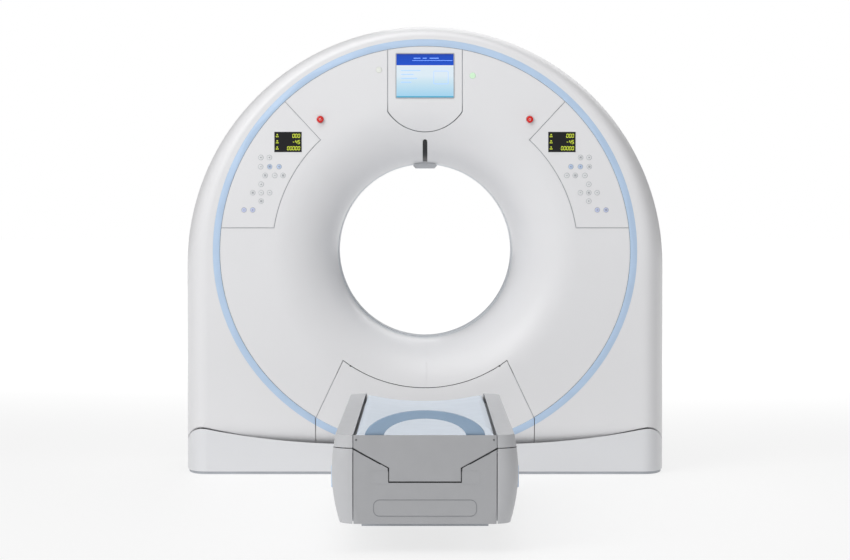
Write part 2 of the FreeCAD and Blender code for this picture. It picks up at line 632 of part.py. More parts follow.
def tongue_prism(grow, y0, y1):
    """The foot end seen from the front: what belongs to the rising cover."""
    (x0, z0), (x1, z1), (x2, z2), (x3, z3) = TONGUE
    high = 460.0
    points = [(-400, z0 - grow), (-x0 - grow, z0 - grow), (-x1, z1 - grow), (-x2 - grow, z2 - grow),
              (-x3 - grow, z3 - grow), (x3 + grow, z3 - grow), (x2 + grow, z2 - grow), (x1, z1 - grow),
              (x0 + grow, z0 - grow), (400, z0 - grow), (400, high), (-400, high)]
    return polygon_prism([at(x, y0, z) for x, z in points], at(0, y1 - y0, 0))


def build_couch_covers():
    solid = couch_envelope(0)
    hollow = couch_envelope(COUCH_SKIN)
    skin = solid.cut(hollow)
    foot_zone = COUCH_FOOT_Y + COUCH_CORNER
    foot_y, head_y = COUCH_FOOT_Y - 10, COUCH_HEAD_Y + 10
    rising = tongue_prism(-COUCH_SEAM, foot_y, foot_zone).fuse(
        box(-400, 400, foot_zone, head_y, SPLIT + COUCH_SEAM, 460))
    staying = tongue_prism(COUCH_SEAM, foot_y - 1, foot_zone).fuse(
        box(-400, 400, foot_zone, head_y + 1, SPLIT - COUCH_SEAM, 470))
    passage = box(-TABLE_HALF - 4, TABLE_HALF + 4, COUCH_HEAD_Y - 60, head_y, SKIRT_TOP + 3, 460)
    lower = skin.cut([staying, passage])
    upper = skin.common(rising).cut(passage)
    panel = box(-END_PANEL + COUCH_SEAM, END_PANEL - COUCH_SEAM, foot_y, foot_zone - 40, 0, 500)
    panel_cut = box(-END_PANEL - COUCH_SEAM, END_PANEL + COUCH_SEAM, foot_y - 1, foot_zone - 39, 0, 500)
    save("couch_lower_cover", lower.cut(panel_cut))
    save("couch_lower_end_panel", lower.common(panel))
    upper_sides = upper.cut(panel_cut)
    shelf_z = SPLIT + COUCH_SEAM
    shelf = solid.common(box(-400, 400, foot_y, head_y, shelf_z, shelf_z + 3)).cut(
        box(-TABLE_HALF - 3, TABLE_HALF + 3, COUCH_FOOT_Y + 8, head_y, 0, 500))
    shelf = shelf.cut(panel_cut)
    crest = COUCH_TOP - 3
    deck = solid.common(box(-400, 400, foot_y, head_y, crest, COUCH_TOP)).cut(
        box(-TABLE_HALF - 8, TABLE_HALF + 8, COUCH_FOOT_Y + 10, head_y, 0, 500)).cut(panel_cut)
    save("couch_upper_cover", upper_sides.fuse([shelf, deck]).removeSplitter())
    save("couch_upper_end_panel", upper.common(panel))


def skirt(half, low, top):
    """One sleeve of the telescoping skirt."""
    step = COUCH_WIDE - half
    head, foot = COUCH_HEAD_Y - step, COUCH_FOOT_Y + step
    corner = COUCH_CORNER - step / 2
    outer = Part.Face(rounded_wire(half, head, foot, corner, low))
    inner = Part.Face(rounded_wire(half - SKIRT_WALL, head - SKIRT_WALL, foot + SKIRT_WALL,
                                   corner - SKIRT_WALL, low))
    return outer.cut(inner).extrude(at(0, 0, top - low))


def build_skirts():
    save("skirt_outer", skirt(SKIRTS[0], SKIRT_LOW, SKIRT_TOP))
    save("skirt_middle", skirt(SKIRTS[1], SKIRT_LOW, SKIRT_TOP))
    save("skirt_inner", skirt(SKIRTS[2], SKIRT_LOW, SKIRT_TOP))


# ---- couch lift ----
def arm_plate(x_range, start, end):
    """A flat bar between two pins, round at both ends, on both sides of the couch."""
    x0, x1 = x_range
    along = end - start
    along.normalize()
    across = at(0, -along.z, along.y) * ARM_HALF
    points = [start + across, end + across, end - across, start - across]
    bar = polygon_prism([at(x0, p.y, p.z) for p in points], at(x1 - x0, 0, 0))
    bar = bar.fuse([rod_x(ARM_HALF, x0, x1, p.y, p.z) for p in (start, end)])
    return bar.removeSplitter()


def build_lift():
    low, high = PIVOT_Z, PIVOT_Z + PIN_RISE
    mid_y, mid_z = (PIVOT_Y + ROLLER_Y) / 2, (low + high) / 2
    arm_a = arm_plate(ARM_A, at(0, PIVOT_Y, low), at(0, ROLLER_Y, high))
    arm_a = arm_a.fuse([rod_x(PIN, ARM_A[1] - 1, ARM_B[1], mid_y, mid_z),
                        rod_x(ARM_HALF, ARM_B[0], ARM_B[1], ROLLER_Y, high),
                        rod_x(PIN, ARM_A[0], ARM_B[1], ROLLER_Y, high)])
    tie_share = 0.72
    tie_y = PIVOT_Y + (ROLLER_Y - PIVOT_Y) * tie_share
    tie_z = low + (high - low) * tie_share
    ties = [rod_x(PIN, -ARM_A[0], ARM_A[0], PIVOT_Y, low),
            rod_x(PIN, -ARM_A[0], ARM_A[0], tie_y, tie_z)]
    save("lift_arm_a", joined(both_sides(arm_a) + ties))
    arm_b = arm_plate(ARM_B, at(0, PIVOT_Y, high), at(0, ROLLER_Y, low))
    arm_b = arm_b.cut(rod_x(PIN + RUN, ARM_B[0] - 1, ARM_B[1] + 1, mid_y, mid_z))
    arm_b = arm_b.fuse([rod_x(ARM_HALF, ARM_A[0], ARM_A[1], ROLLER_Y, low),
                        rod_x(PIN, ARM_A[0] - 14, ARM_B[0], PIVOT_Y, high)])
    axle = rod_x(PIN, -ARM_B[0], ARM_B[0], ROLLER_Y, low)
    save("lift_arm_b", joined(both_sides(arm_b) + [axle]))
    carriage = box(-45, 45, ROLLER_Y - 34, ROLLER_Y + 34, SCREW_Z - 20, low + 24)
    save("lift_nut", carriage.cut([rod_x(PIN + RUN, -46, 46, ROLLER_Y, low),
                                   rod_y(10.5, ROLLER_Y - 35, ROLLER_Y + 35, 0, SCREW_Z)]))
    screw_start, screw_end = ROLLER_Y - 60, ROLLER_Y + ROLLER_TRAVEL + 60
    save("lift_screw", rod_y(10, screw_start - 20, screw_end + 30, 0, SCREW_Z))
    motor = rod_y(42, screw_end + 34, screw_end + 210, 0, SCREW_Z)
    save("lift_motor", motor.fuse(box(-42, 42, screw_end + 60, screw_end + 180, 12, SCREW_Z)).cut(
        rod_y(11, screw_end + 30, screw_end + 36, 0, SCREW_Z)))
    return screw_start, screw_end


def joined(shapes):
    return shapes[0].fuse(shapes[1:])


def build_couch_base(screw_start, screw_end):
    low = FLOOR_PLATE
    plate_half, head, foot = 232.0, COUCH_HEAD_Y - PLINTH_INSET, PLINTH_FOOT_Y
    base = box(-plate_half, plate_half, foot, head, 0, low)
    kerb = box(-plate_half, plate_half, foot, head, low, 74).cut(
        box(-plate_half + 8, plate_half - 8, foot + 8, head - 8, 0, 80))
    base = base.fuse(kerb)
    for side in (-1, 1):
        a, b = sorted((side * (ARM_A[0] - 15), side * (ARM_A[0] - 1)))
        bracket = box(a, b, PIVOT_Y - 45, PIVOT_Y + 45, low, PIVOT_Z + 24)
        base = base.fuse(bracket.cut(rod_x(PIN + RUN, a - 1, b + 1, PIVOT_Y, PIVOT_Z)))
        a, b = sorted((side * (ARM_A[0] - 4), side * (ARM_A[1] + 2)))
        base = base.fuse(box(a, b, ROLLER_Y - 50, ROLLER_Y + ROLLER_TRAVEL + 50, low,
                             PIVOT_Z - ARM_HALF - RUN))
    for y in (screw_start, screw_end):
        block = box(-34, 34, y - 12, y + 12, low, SCREW_Z + 18)
        base = base.fuse(block.cut(rod_y(10 + RUN, y - 13, y + 13, 0, SCREW_Z)))
    base = base.cut([rod_z(COUCH_ANCHOR_HOLE, -1, low + 1, x, y)
                     for x in COUCH_ANCHOR_X for y in (head - 60, foot + 120)])
    reach = COUCH_FOOT - COUCH_SKIN
    under = SKIRT_LOW - RUN
    for y, half in ((head - 120, 25), (foot + 18, 18)):
        arm = box(plate_half - 1, reach, y - half, y + half, 60, under).fuse(
            box(reach - 6, reach, y - half, y + half, 60, COUCH_LOW + 8))
        base = base.fuse(both_sides(arm))
    end = COUCH_FOOT_Y + 6 + COUCH_SKIN
    before = COUCH_FOOT_Y + COUCH_WIDE - SKIRTS[0] - RUN
    behind = COUCH_FOOT_Y + COUCH_WIDE - SKIRTS[2] + SKIRT_WALL + RUN
    x0, x1 = CARRIER_X
    z0, z1 = COUCH_LOW + 1, COUCH_LOW + CARRIER_HIGH
    beam = box(x0, x1, end, behind + 30, z0, under).fuse(
        [box(x0, x1, behind, foot + 40, z0, z1), box(x0, x1, foot, foot + 40, low, z1)])
    beam = beam.fuse([box(x1 - 1, reach, y - 25, y + 25, z0, under)
                      for y in (end + 150, (end + foot) / 2)])
    base = base.fuse(both_sides(beam) + [box(-x1, x1, end, before, z0, z1)])
    save("couch_base", base)


def build_top_frame():
    high = PIVOT_Z + PIN_RISE
    track = high + ARM_HALF + RUN
    rail_top = track + 24
    head, foot = COUCH_HEAD_Y - 72, COUCH_FOOT_Y + 72
    parts = []
    for side in (-1, 1):
        a, b = sorted((side * (ARM_A[0] - 2), side * (ARM_B[1] + 4)))
        parts.append(box(a, b, foot, head, track, rail_top))
        a, b = sorted((side * (ARM_A[0] - 14), side * (ARM_A[1] + 1)))
        lug = box(a, b, PIVOT_Y - 30, PIVOT_Y + 30, high - 26, track + 2)
        parts.append(lug)
        a, b = sorted((side * (TABLE_HALF + 4), side * (ARM_B[1] + 4)))
        for y in (head - 60, COUCH_MID_Y, foot + 60):
            parts.append(box(a, b, y - 20, y + 20, rail_top - 1, SPLIT + COUCH_SEAM))
        a, b = sorted((side * 150, side * 200))
        parts.append(box(a, b, COUCH_FOOT_Y + 6, foot + 60, rail_top, rail_top + 8))
    half = SKIRTS[2] - SKIRT_WALL
    cross = [head - 60, head - 240, head - 480, COUCH_MID_Y, foot + 400, foot + 60]
    for y in cross:
        parts.append(box(-half, half, y - 20, y + 20, track + 2, rail_top))
    for y in cross[:4]:
        for x in (-RAIL_X, RAIL_X):
            block = box(x - 26, x + 26, y - 28, y + 28, rail_top, TABLE_UNDER - 2)
            slot = box(x - RAIL_HALF - RUN, x + RAIL_HALF + RUN, y - 30, y + 30, rail_top + 3, TABLE_UNDER)
            parts.append(block.cut(slot))
    frame = joined(parts)
    save("couch_top_frame", frame.cut(rod_x(PIN + RUN, -260, 260, PIVOT_Y, high)))
    rails = [box(side * RAIL_X - RAIL_HALF, side * RAIL_X + RAIL_HALF, COUCH_FOOT_Y + 50, COUCH_HEAD_Y - 12,
                 rail_top + 3 + RUN, TABLE_UNDER) for side in (-1, 1)]
    save("table_rails", rails)
    motor_y = head - TABLE_MOTOR
    beam_half = ARM_A[0] - 2
    save("table_drive", joined([
        box(-70, 70, motor_y - 90, motor_y + 90, track - 66, track + 2),
        rod_z(22, track - 40, rail_top + 4, 0, motor_y),
        box(-beam_half, beam_half, motor_y - 12, motor_y + 12, track + 1, track + 10)]))


# ---- tabletop ----
def trough(half, rim, dip, under, y0, y1, flat=0.62):
    """A long shell with a hollow top, rim at its edges and a flat underside."""
    edges = [arc(at(-half, y0, rim), at(0, y0, rim - dip), at(half, y0, rim)),
             line(at(half, y0, rim), at(half, y0, rim - 12)),
             line(at(half, y0, rim - 12), at(half * flat, y0, under)),
             line(at(half * flat, y0, under), at(-half * flat, y0, under)),
             line(at(-half * flat, y0, under), at(-half, y0, rim - 12)),
             line(at(-half, y0, rim - 12), at(-half, y0, rim))]
    return prism(edges, at(0, y1 - y0, 0))


def build_table():
    foot, head = COUCH_FOOT_Y + 14, COUCH_HEAD_Y - 6
    save("tabletop", trough(TABLE_HALF, TABLE_TOP, TABLE_DIP, TABLE_UNDER, foot + 30, head))
    top = TABLE_TOP + MAT
    start = foot + 34
    edges = [arc(at(-TABLE_HALF, start, top), at(0, start, top - TABLE_DIP),
                 at(TABLE_HALF, start, top)),
             line(at(TABLE_HALF, start, top), at(TABLE_HALF, start, TABLE_TOP)),
             arc(at(TABLE_HALF, start, TABLE_TOP), at(0, start, TABLE_TOP - TABLE_DIP),
                 at(-TABLE_HALF, start, TABLE_TOP)),
             line(at(-TABLE_HALF, start, TABLE_TOP), at(-TABLE_HALF, start, top))]
    save("mat", prism(edges, at(0, head - 6 - start, 0)))
    base_z = TABLE_TOP - 28
    outer = arch_face(ARCH_OUT[0], top - 2, ARCH_OUT[1] + 2, base_z, foot)
    inner = arch_face(ARCH_IN[0], top - 2, ARCH_IN[1] + 2, top - 2, foot)
    save("end_handle", outer.cut(inner).extrude(at(0, 30, 0)))


def arch_face(half, spring, rise, base, y):
    """An upright half oval on a straight foot."""
    middle = at(0, y, spring)
    curve = Part.Ellipse(middle + at(half, 0, 0), middle + at(0, 0, rise), middle)
    edges = [Part.ArcOfEllipse(curve, 0, math.pi).toShape()]
    corners = [at(-half, y, spring), at(-half, y, base), at(half, y, base), at(half, y, spring)]
    if base < spring:
        edges += [line(a, b) for a, b in zip(corners, corners[1:])]
    else:
        edges.append(line(corners[0], corners[3]))
    return Part.Face(Part.Wire(Part.__sortEdges__(edges)))


def main():
    os.makedirs("parts", exist_ok=True)
    build_covers()
    build_face_fittings()
    build_bore()
    build_base()
    build_tilt_frame()
    build_rotor()
    build_couch_covers()
    build_skirts()
    build_couch_base(*build_lift())
    build_top_frame()
    build_table()


if __name__ == "__main__":
    main()
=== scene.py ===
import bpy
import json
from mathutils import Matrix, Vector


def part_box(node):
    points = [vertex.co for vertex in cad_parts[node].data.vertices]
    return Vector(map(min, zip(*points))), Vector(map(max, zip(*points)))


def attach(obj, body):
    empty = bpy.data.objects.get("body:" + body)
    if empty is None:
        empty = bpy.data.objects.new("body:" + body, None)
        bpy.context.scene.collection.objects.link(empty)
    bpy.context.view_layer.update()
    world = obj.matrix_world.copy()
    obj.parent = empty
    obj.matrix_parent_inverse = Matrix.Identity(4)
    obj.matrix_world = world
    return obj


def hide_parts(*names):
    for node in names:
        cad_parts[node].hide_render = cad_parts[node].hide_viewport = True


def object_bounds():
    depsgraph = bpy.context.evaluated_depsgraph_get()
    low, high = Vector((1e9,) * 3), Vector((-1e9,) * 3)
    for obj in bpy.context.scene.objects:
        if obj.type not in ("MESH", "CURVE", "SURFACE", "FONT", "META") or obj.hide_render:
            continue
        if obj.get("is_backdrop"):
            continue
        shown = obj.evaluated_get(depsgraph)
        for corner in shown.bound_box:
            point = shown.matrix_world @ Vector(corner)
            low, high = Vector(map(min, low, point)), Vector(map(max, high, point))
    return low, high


bl_info = {
    "name": "CT Scanner",
    "version": (1, 0, 0),
    "blender": (4, 5, 0),
    "location": "3D View > Sidebar > CT Scanner",
    "description": "Finishes a CT gantry and its patient couch around their CAD frame",
    "category": "Object",
}

import json
import math

import bmesh
import bpy
from bpy.props import FloatProperty, FloatVectorProperty, IntProperty, PointerProperty
from mathutils import Vector

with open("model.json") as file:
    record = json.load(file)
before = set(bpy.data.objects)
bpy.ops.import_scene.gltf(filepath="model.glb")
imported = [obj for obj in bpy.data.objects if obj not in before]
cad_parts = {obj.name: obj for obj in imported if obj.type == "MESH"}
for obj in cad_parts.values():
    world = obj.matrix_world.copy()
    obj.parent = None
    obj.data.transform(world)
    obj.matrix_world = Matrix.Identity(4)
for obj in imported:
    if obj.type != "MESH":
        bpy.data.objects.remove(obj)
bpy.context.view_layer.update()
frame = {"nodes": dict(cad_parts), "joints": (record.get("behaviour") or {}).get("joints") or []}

MM = 0.001
ISO_Z = next(j["pos_m"][2] for j in frame["joints"] if j["name"] == "gantry_tilt")
TILTING, TABLE, FIXED, RISING = "tilting_gantry", "table", "floor_structure", "couch_upper"

INK = 0.3 * MM              # how thick a printed mark is drawn
BLUE_ROW = (0.355, 0.385)   # heights over the bore's centre between which the inner keys are blue
BLUE_WITHIN = 0.70          # how far from the middle those keys may lie
VIOLET_BELOW = 0.21         # keys under this height are violet
HEADER_SHARE = 0.26         # part of the screen that its header takes
READINGS = ("000", "-45", "00000")      # the three rows of each number display
# a darker outline round the couch's end panel: painted shade for a groove, drawn as a slightly proud line
SHADE_LINE_SIZE, SHADE_LINE_Z, SHADE_LINE_CORNER = (0.350, 0.058), 0.152, 0.022   # on the couch's end panel
SQUARE_SIZE, SQUARE_AT = (0.061, 0.047), (0.1545, 0.2555)       # faint squares beside the tongue
TONGUE_SEAM = ((0.243, 0.354), (0.216, 0.339), (0.122, 0.287), (0.122, 0.241))  # its right half
BUMPER_SIZE, BUMPER_Z, BUMPER_SHARE = (9 * MM, 0.075), 0.245, 0.86
END_SCREW = (0.232, 0.382)
PANEL_SCREW = (0.325, -0.498)           # from the bore's centre


# ---- small tools ----
def srgb(code):
    """A hex colour as opaque linear RGBA."""
    parts = [int(code[i:i + 2], 16) / 255 for i in (1, 3, 5)]
    linear = [c / 12.92 if c <= 0.04045 else ((c + 0.055) / 1.055) ** 2.4 for c in parts]
    return (*linear, 1.0)


def add_node(tree, kind, settings=None, inputs=None):
    """Adds a node. A value in inputs is a number, a colour or another node's output socket."""
    node = tree.nodes.new(kind)
    for name, value in (settings or {}).items():
        setattr(node, name, value)
    for name, value in (inputs or {}).items():
        if isinstance(value, bpy.types.NodeSocket):
            tree.links.new(value, node.inputs[name])
        else:
            node.inputs[name].default_value = value
    return node


def new_material(name, **surface):
    """A material with one Principled surface; each keyword is a socket's value."""
    material = bpy.data.materials.new(name)
    material.use_nodes = True
    tree = material.node_tree
    tree.nodes.clear()
    names = {"colour": "Base Color", "rough": "Roughness", "metal": "Metallic", "coat": "Coat Weight",
             "coat_rough": "Coat Roughness", "sheen": "Sheen Weight", "emit": "Emission Color",
             "power": "Emission Strength"}
    shader = add_node(tree, "ShaderNodeBsdfPrincipled",
                      inputs={names[key]: value for key, value in surface.items()})
    add_node(tree, "ShaderNodeOutputMaterial", inputs={"Surface": shader.outputs["BSDF"]})
    return material, tree, shader


def place_of(tree):
    """The point's place in the object's own coordinates, in metres."""
    return add_node(tree, "ShaderNodeTexCoord").outputs["Object"]


def grain(tree, shader, size_mm, depth_mm, detail=3.0):
    """A fine uneven surface: noise of one feature every size_mm, depth_mm deep."""
    noise = add_node(tree, "ShaderNodeTexNoise", inputs={
        "Vector": place_of(tree), "Scale": 1.0 / (size_mm * MM), "Detail": detail})
    bump = add_node(tree, "ShaderNodeBump", inputs={
        "Height": noise.outputs["Fac"], "Distance": depth_mm * MM, "Strength": 1.0})
    tree.links.new(bump.outputs["Normal"], shader.inputs["Normal"])
    return noise


def tint(tree, shader, colour, size_mm, amount):
    """Uneven colour: a slow drift between the colour and a slightly darker one."""
    darker = tuple(c * (1 - amount) for c in colour[:3]) + (1.0,)
    noise = add_node(tree, "ShaderNodeTexNoise", inputs={
        "Vector": place_of(tree), "Scale": 1.0 / (size_mm * MM), "Detail": 4.0})
    ramp = add_node(tree, "ShaderNodeMapRange", inputs={
        "Value": noise.outputs["Fac"], "From Min": 0.35, "From Max": 0.65})
    mix = add_node(tree, "ShaderNodeMix", {"data_type": "RGBA"}, {"Factor": ramp.outputs["Result"]})
    mix.inputs[6].default_value = colour
    mix.inputs[7].default_value = darker
    tree.links.new(mix.outputs[2], shader.inputs["Base Color"])


# ---- materials ----
def painted_cover(name, colour):
    """Moulded glass-fibre covers with a two-part satin lacquer: soft, broad highlights."""
    material, tree, shader = new_material(name, colour=colour, rough=0.42, coat=0.25, coat_rough=0.28)
    tint(tree, shader, colour, 420.0, 0.012)
    # lacquer flow marks are about 2 mm apart in truth; drawn at 6 mm so that they show
    grain(tree, shader, 6.0, 0.02)
    return material


def moulded_abs(name, colour, rough=0.45):
    """Injection-moulded ABS with a fine spark-eroded texture: even and slightly dull."""
    material, tree, shader = new_material(name, colour=colour, rough=rough)
    tint(tree, shader, colour, 60.0, 0.03)
    # the mould's spark texture is about 0.3 mm; drawn at 1.5 mm
    grain(tree, shader, 1.5, 0.03)
    return material


def powder_coat(name, colour):
    """Powder-coated steel: a finely pebbled skin that stays dull on every edge."""
    material, tree, shader = new_material(name, colour=colour, rough=0.55)
    tint(tree, shader, colour, 180.0, 0.08)
    grain(tree, shader, 3.0, 0.08)
    return material


def turned_metal(name, colour, rough=0.3):
    """Turned or milled metal: fine tool marks that stretch the highlights."""
    material, tree, shader = new_material(name, colour=colour, metal=1.0, rough=rough)
    scratches = add_node(tree, "ShaderNodeTexNoise", inputs={
        "Vector": add_node(tree, "ShaderNodeMapping", inputs={
            "Vector": place_of(tree), "Scale": (1.0, 30.0, 1.0)}).outputs["Vector"],
        "Scale": 40.0, "Detail": 5.0})
    spread = add_node(tree, "ShaderNodeMapRange", inputs={
        "Value": scratches.outputs["Fac"], "To Min": rough * 0.8, "To Max": rough * 1.3})
    tree.links.new(spread.outputs["Result"], shader.inputs["Roughness"])
    return material


def smoked_acrylic(name, colour):
    """Tinted cast acrylic: glossy, with a faint waviness in its reflections."""
    material, tree, shader = new_material(name, colour=colour, rough=0.3, coat=0.15, coat_rough=0.1)
    grain(tree, shader, 40.0, 0.02)
    return material


def black_rubber(name):
    """Ribbed neoprene drive belt: dull, with a bloom of dust."""
    colour = srgb("#17181a")
    material, tree, shader = new_material(name, colour=colour, rough=0.75)
    tint(tree, shader, colour, 30.0, 0.3)
    grain(tree, shader, 2.0, 0.1)
    return material


def carbon_laminate(name):
    """Carbon-fibre laminate under clear epoxy: a 2 mm twill seen through gloss."""
    material, tree, shader = new_material(name, colour=srgb("#1b1d20"), rough=0.35, coat=0.8,
                                          coat_rough=0.1)
    weave = add_node(tree, "ShaderNodeTexChecker", inputs={
        "Vector": place_of(tree), "Scale": 1.0 / (4.0 * MM), "Color1": srgb("#1b1d20"),
        "Color2": srgb("#2b2e33")})
    tree.links.new(weave.outputs["Color"], shader.inputs["Base Color"])
    return material


def mat_vinyl(name, colour):
    """Coated vinyl over foam: finely pebbled, with a low sheen."""
    material, tree, shader = new_material(name, colour=colour, rough=0.5, sheen=0.15)
    tint(tree, shader, colour, 90.0, 0.04)
    # the pebble is about 0.8 mm; drawn at 3 mm
    grain(tree, shader, 3.0, 0.12, detail=2.0)
    return material


def lit_screen(name):
    """A lit liquid-crystal panel: dark header, white line, pale body and cyan foot."""
    material, tree, shader = new_material(name, colour=srgb("#0b1a2a"), rough=0.2, coat=0.5,
                                          coat_rough=0.06, power=0.9)
    low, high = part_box("display_screen")
    split = add_node(tree, "ShaderNodeSeparateXYZ", inputs={"Vector": place_of(tree)})
    height = add_node(tree, "ShaderNodeMapRange", inputs={
        "Value": split.outputs["Z"], "From Min": low.z, "From Max": high.z})
    ramp = add_node(tree, "ShaderNodeValToRGB", inputs={"Fac": height.outputs["Result"]})
    bands = ((0.0, "#4fadd0"), (0.03, "#5cb6d8"), (0.035, "#a9dcf7"), (0.38, "#d6effb"),
             (0.5, "#e8f6ff"), (0.71, "#e8f6ff"), (0.735, "#ffffff"), (0.742, "#0a4fd0"),
             (0.95, "#0a46c4"), (1.0, "#1a3aa0"))
    stops = ramp.color_ramp.elements
    stops[0].position, stops[0].color = bands[0][0], srgb(bands[0][1])
    stops[1].position, stops[1].color = bands[-1][0], srgb(bands[-1][1])
    for position, code in bands[1:-1]:
        stop = stops.new(position)
        stop.color = srgb(code)
    tree.links.new(ramp.outputs["Color"], shader.inputs["Emission Color"])
    return material


def printed_ink(name, colour):
    """Screen-printed ink: flat and matt, a few hundredths of a millimetre thick."""
    material, tree, shader = new_material(name, colour=colour, rough=0.6)
    tint(tree, shader, colour, 8.0, 0.05)
    return material


def glowing(name, colour, power):
    """A diffusing lens with light behind it."""
    material, tree, shader = new_material(name, colour=colour, rough=0.3, emit=colour, power=power)
    grain(tree, shader, 4.0, 0.02)
    return material


def studio_floor(name):
    """Pale seamless floor that turns to white far behind the machine."""
    material, tree, shader = new_material(name, colour=srgb("#6e6e6e"), rough=0.7)
    split = add_node(tree, "ShaderNodeSeparateXYZ", inputs={"Vector": place_of(tree)})
    fade = add_node(tree, "ShaderNodeMapRange", {"interpolation_type": "SMOOTHSTEP"}, {
        "Value": split.outputs["Y"], "From Min": 0.5, "From Max": 9.0, "To Min": 0.76, "To Max": 1.0})
    tree.links.new(fade.outputs["Result"], shader.inputs["Emission Strength"])
    shader.inputs["Emission Color"].default_value = (1.0, 1.0, 1.0, 1.0)
    return material


# ---- modelling tools ----
def deselect():
    if bpy.context.mode != "OBJECT":
        bpy.ops.object.mode_set(mode="OBJECT")
    bpy.ops.object.select_all(action="DESELECT")


def choose(piece):
    """Makes one piece the selected and active one."""
    deselect()
    piece.select_set(True)
    bpy.context.view_layer.objects.active = piece
    return piece


def settle(name=None):
    """Puts the active piece's place, turn and scale into its mesh."""
    piece = choose(bpy.context.view_layer.objects.active)
    bpy.ops.object.transform_apply(location=True, rotation=True, scale=True)
    if name:
        piece.name = piece.data.name = name
    return piece


def pick(piece, kind, test):
    """In edit mode, selects the faces or edges that pass the test, and says how many."""
    choose(piece)
    bpy.ops.object.mode_set(mode="EDIT")
    bpy.ops.mesh.select_mode(type={"faces": "FACE", "edges": "EDGE", "verts": "VERT"}[kind])
    bpy.ops.mesh.select_all(action="DESELECT")
    mesh = bmesh.from_edit_mesh(piece.data)
    found = [item for item in getattr(mesh, kind) if test(item)]
    for item in found:
        item.select_set(True)
    bmesh.update_edit_mesh(piece.data)
    return len(found)


def facing(direction, least=0.9):
    """A test for faces that look in one direction."""
    way = Vector(direction).normalized()
    return lambda face: face.normal.dot(way) > least


def object_mode():
    bpy.ops.object.mode_set(mode="OBJECT")


def disc(name, radius, depth, centre, segments=40):
    """A short round bar whose axis runs front to back."""
    deselect()
    bpy.ops.mesh.primitive_cylinder_add(vertices=segments, radius=radius, depth=depth, location=centre,
                                        rotation=(math.pi / 2, 0, 0))
    return settle(name)


def block(name, size, centre, turn=0.0):
    """A rectangular bar; turn is about the front-to-back axis."""
    deselect()
    bpy.ops.mesh.primitive_cube_add(size=1, location=centre, rotation=(0, turn, 0))
    bpy.context.object.scale = size
    return settle(name)


def rounded(piece, width, segments=2, angle=40.0):
    """Rounds the piece's sharp edges for good."""
    choose(piece)
    bevel = piece.modifiers.new("Rounding", "BEVEL")
    bevel.width, bevel.segments = width, segments
    bevel.limit_method, bevel.angle_limit = "ANGLE", math.radians(angle)
    bpy.ops.object.modifier_apply(modifier=bevel.name)
    return piece


def smooth(piece, angle=35.0):
    choose(piece)
    bpy.ops.object.shade_smooth_by_angle(angle=math.radians(angle))
    return piece


def outward(piece):
    """Merges doubles and turns all faces outwards."""
    choose(piece)
    bpy.ops.object.mode_set(mode="EDIT")
    bpy.ops.mesh.select_all(action="SELECT")
    bpy.ops.mesh.remove_doubles(threshold=0.00001)
    bpy.ops.mesh.normals_make_consistent(inside=False)
    object_mode()
    return piece


def copy_of(piece, shift):
    """A copy with its own mesh, moved."""
    choose(piece)
    bpy.ops.object.duplicate()
    bpy.context.object.location = shift
    return settle()


def joined(name, pieces):
    deselect()
    for piece in pieces:
        piece.select_set(True)
    bpy.context.view_layer.objects.active = pieces[0]
    if len(pieces) > 1:
        bpy.ops.object.join()
    piece = bpy.context.object
    piece.name = piece.data.name = name
    return piece


def paint(piece, *materials):
    piece.data.materials.clear()
    for material in materials:
        piece.data.materials.append(material)
    return piece


def paint_where(piece, index, test):
    """Gives the faces that pass the test the piece's material of that number."""
    if pick(piece, "faces", test):
        piece.active_material_index = index
        bpy.ops.object.material_slot_assign()
    object_mode()


def merged(node, name):
    """A merged copy of a CAD node, with its own smooth shading, ready to be refined."""
    source = frame["nodes"][node]
    piece = bpy.data.objects.new(name, source.data.copy())
    piece.data.name = name
    bpy.context.scene.collection.objects.link(piece)
    choose(piece)
    bpy.ops.mesh.customdata_custom_splitnormals_clear()
    bpy.ops.object.mode_set(mode="EDIT")
    bpy.ops.mesh.select_all(action="SELECT")
    bpy.ops.mesh.remove_doubles(threshold=0.00002)
    bpy.ops.mesh.dissolve_limited(angle_limit=math.radians(0.6))
    object_mode()
    return piece


def solids_of(node):
    """The boxes of a node's separate solids, left to right and then upwards."""
    mesh = bmesh.new()
    mesh.from_mesh(frame["nodes"][node].data)
    bmesh.ops.remove_doubles(mesh, verts=mesh.verts, dist=0.00002)
    left, boxes = set(mesh.verts), []
    while left:
        seed = left.pop()
        group, edge = [seed], [seed]
        while edge:
            for link in edge.pop().link_edges:
                for vert in link.verts:
                    if vert in left:
                        left.remove(vert)
                        group.append(vert)
                        edge.append(vert)
        boxes.append((Vector([min(v.co[i] for v in group) for i in range(3)]),
                      Vector([max(v.co[i] for v in group) for i in range(3)])))
    mesh.free()
    return sorted(boxes, key=lambda b: (round(b[0].x, 3), b[0].z))


def done(piece, body, replaces=()):
    """Ends a piece: it rides on its body, and may stand for CAD nodes."""
    if replaces:
        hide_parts(*replaces)
    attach(piece, body)
    return piece


def need(piece):
    """Stops the script if a piece came out empty."""
    if piece is None or not len(piece.data.polygons):
        raise RuntimeError("a piece has no faces")
    return piece


def rim(name, width, height, centre, edge, depth, corner=0.0):
    """A flat frame that faces the front, with rounded corners."""
    deselect()
    bpy.ops.mesh.primitive_plane_add(size=1, location=centre, rotation=(math.pi / 2, 0, 0))
    bpy.context.object.scale = (width, height, 1)
    piece = settle(name)
    if corner:
        pick(piece, "verts", lambda vert: True)
        bpy.ops.mesh.bevel(offset=corner, segments=6, affect="VERTICES")
        object_mode()
    pick(piece, "faces", lambda face: True)
    bpy.ops.mesh.inset(thickness=edge)
    bpy.ops.mesh.delete(type="FACE")
    object_mode()
    thick = piece.modifiers.new("Thickness", "SOLIDIFY")
    thick.thickness, thick.offset = depth, 0
    bpy.ops.object.modifier_apply(modifier=thick.name)
    return outward(piece)


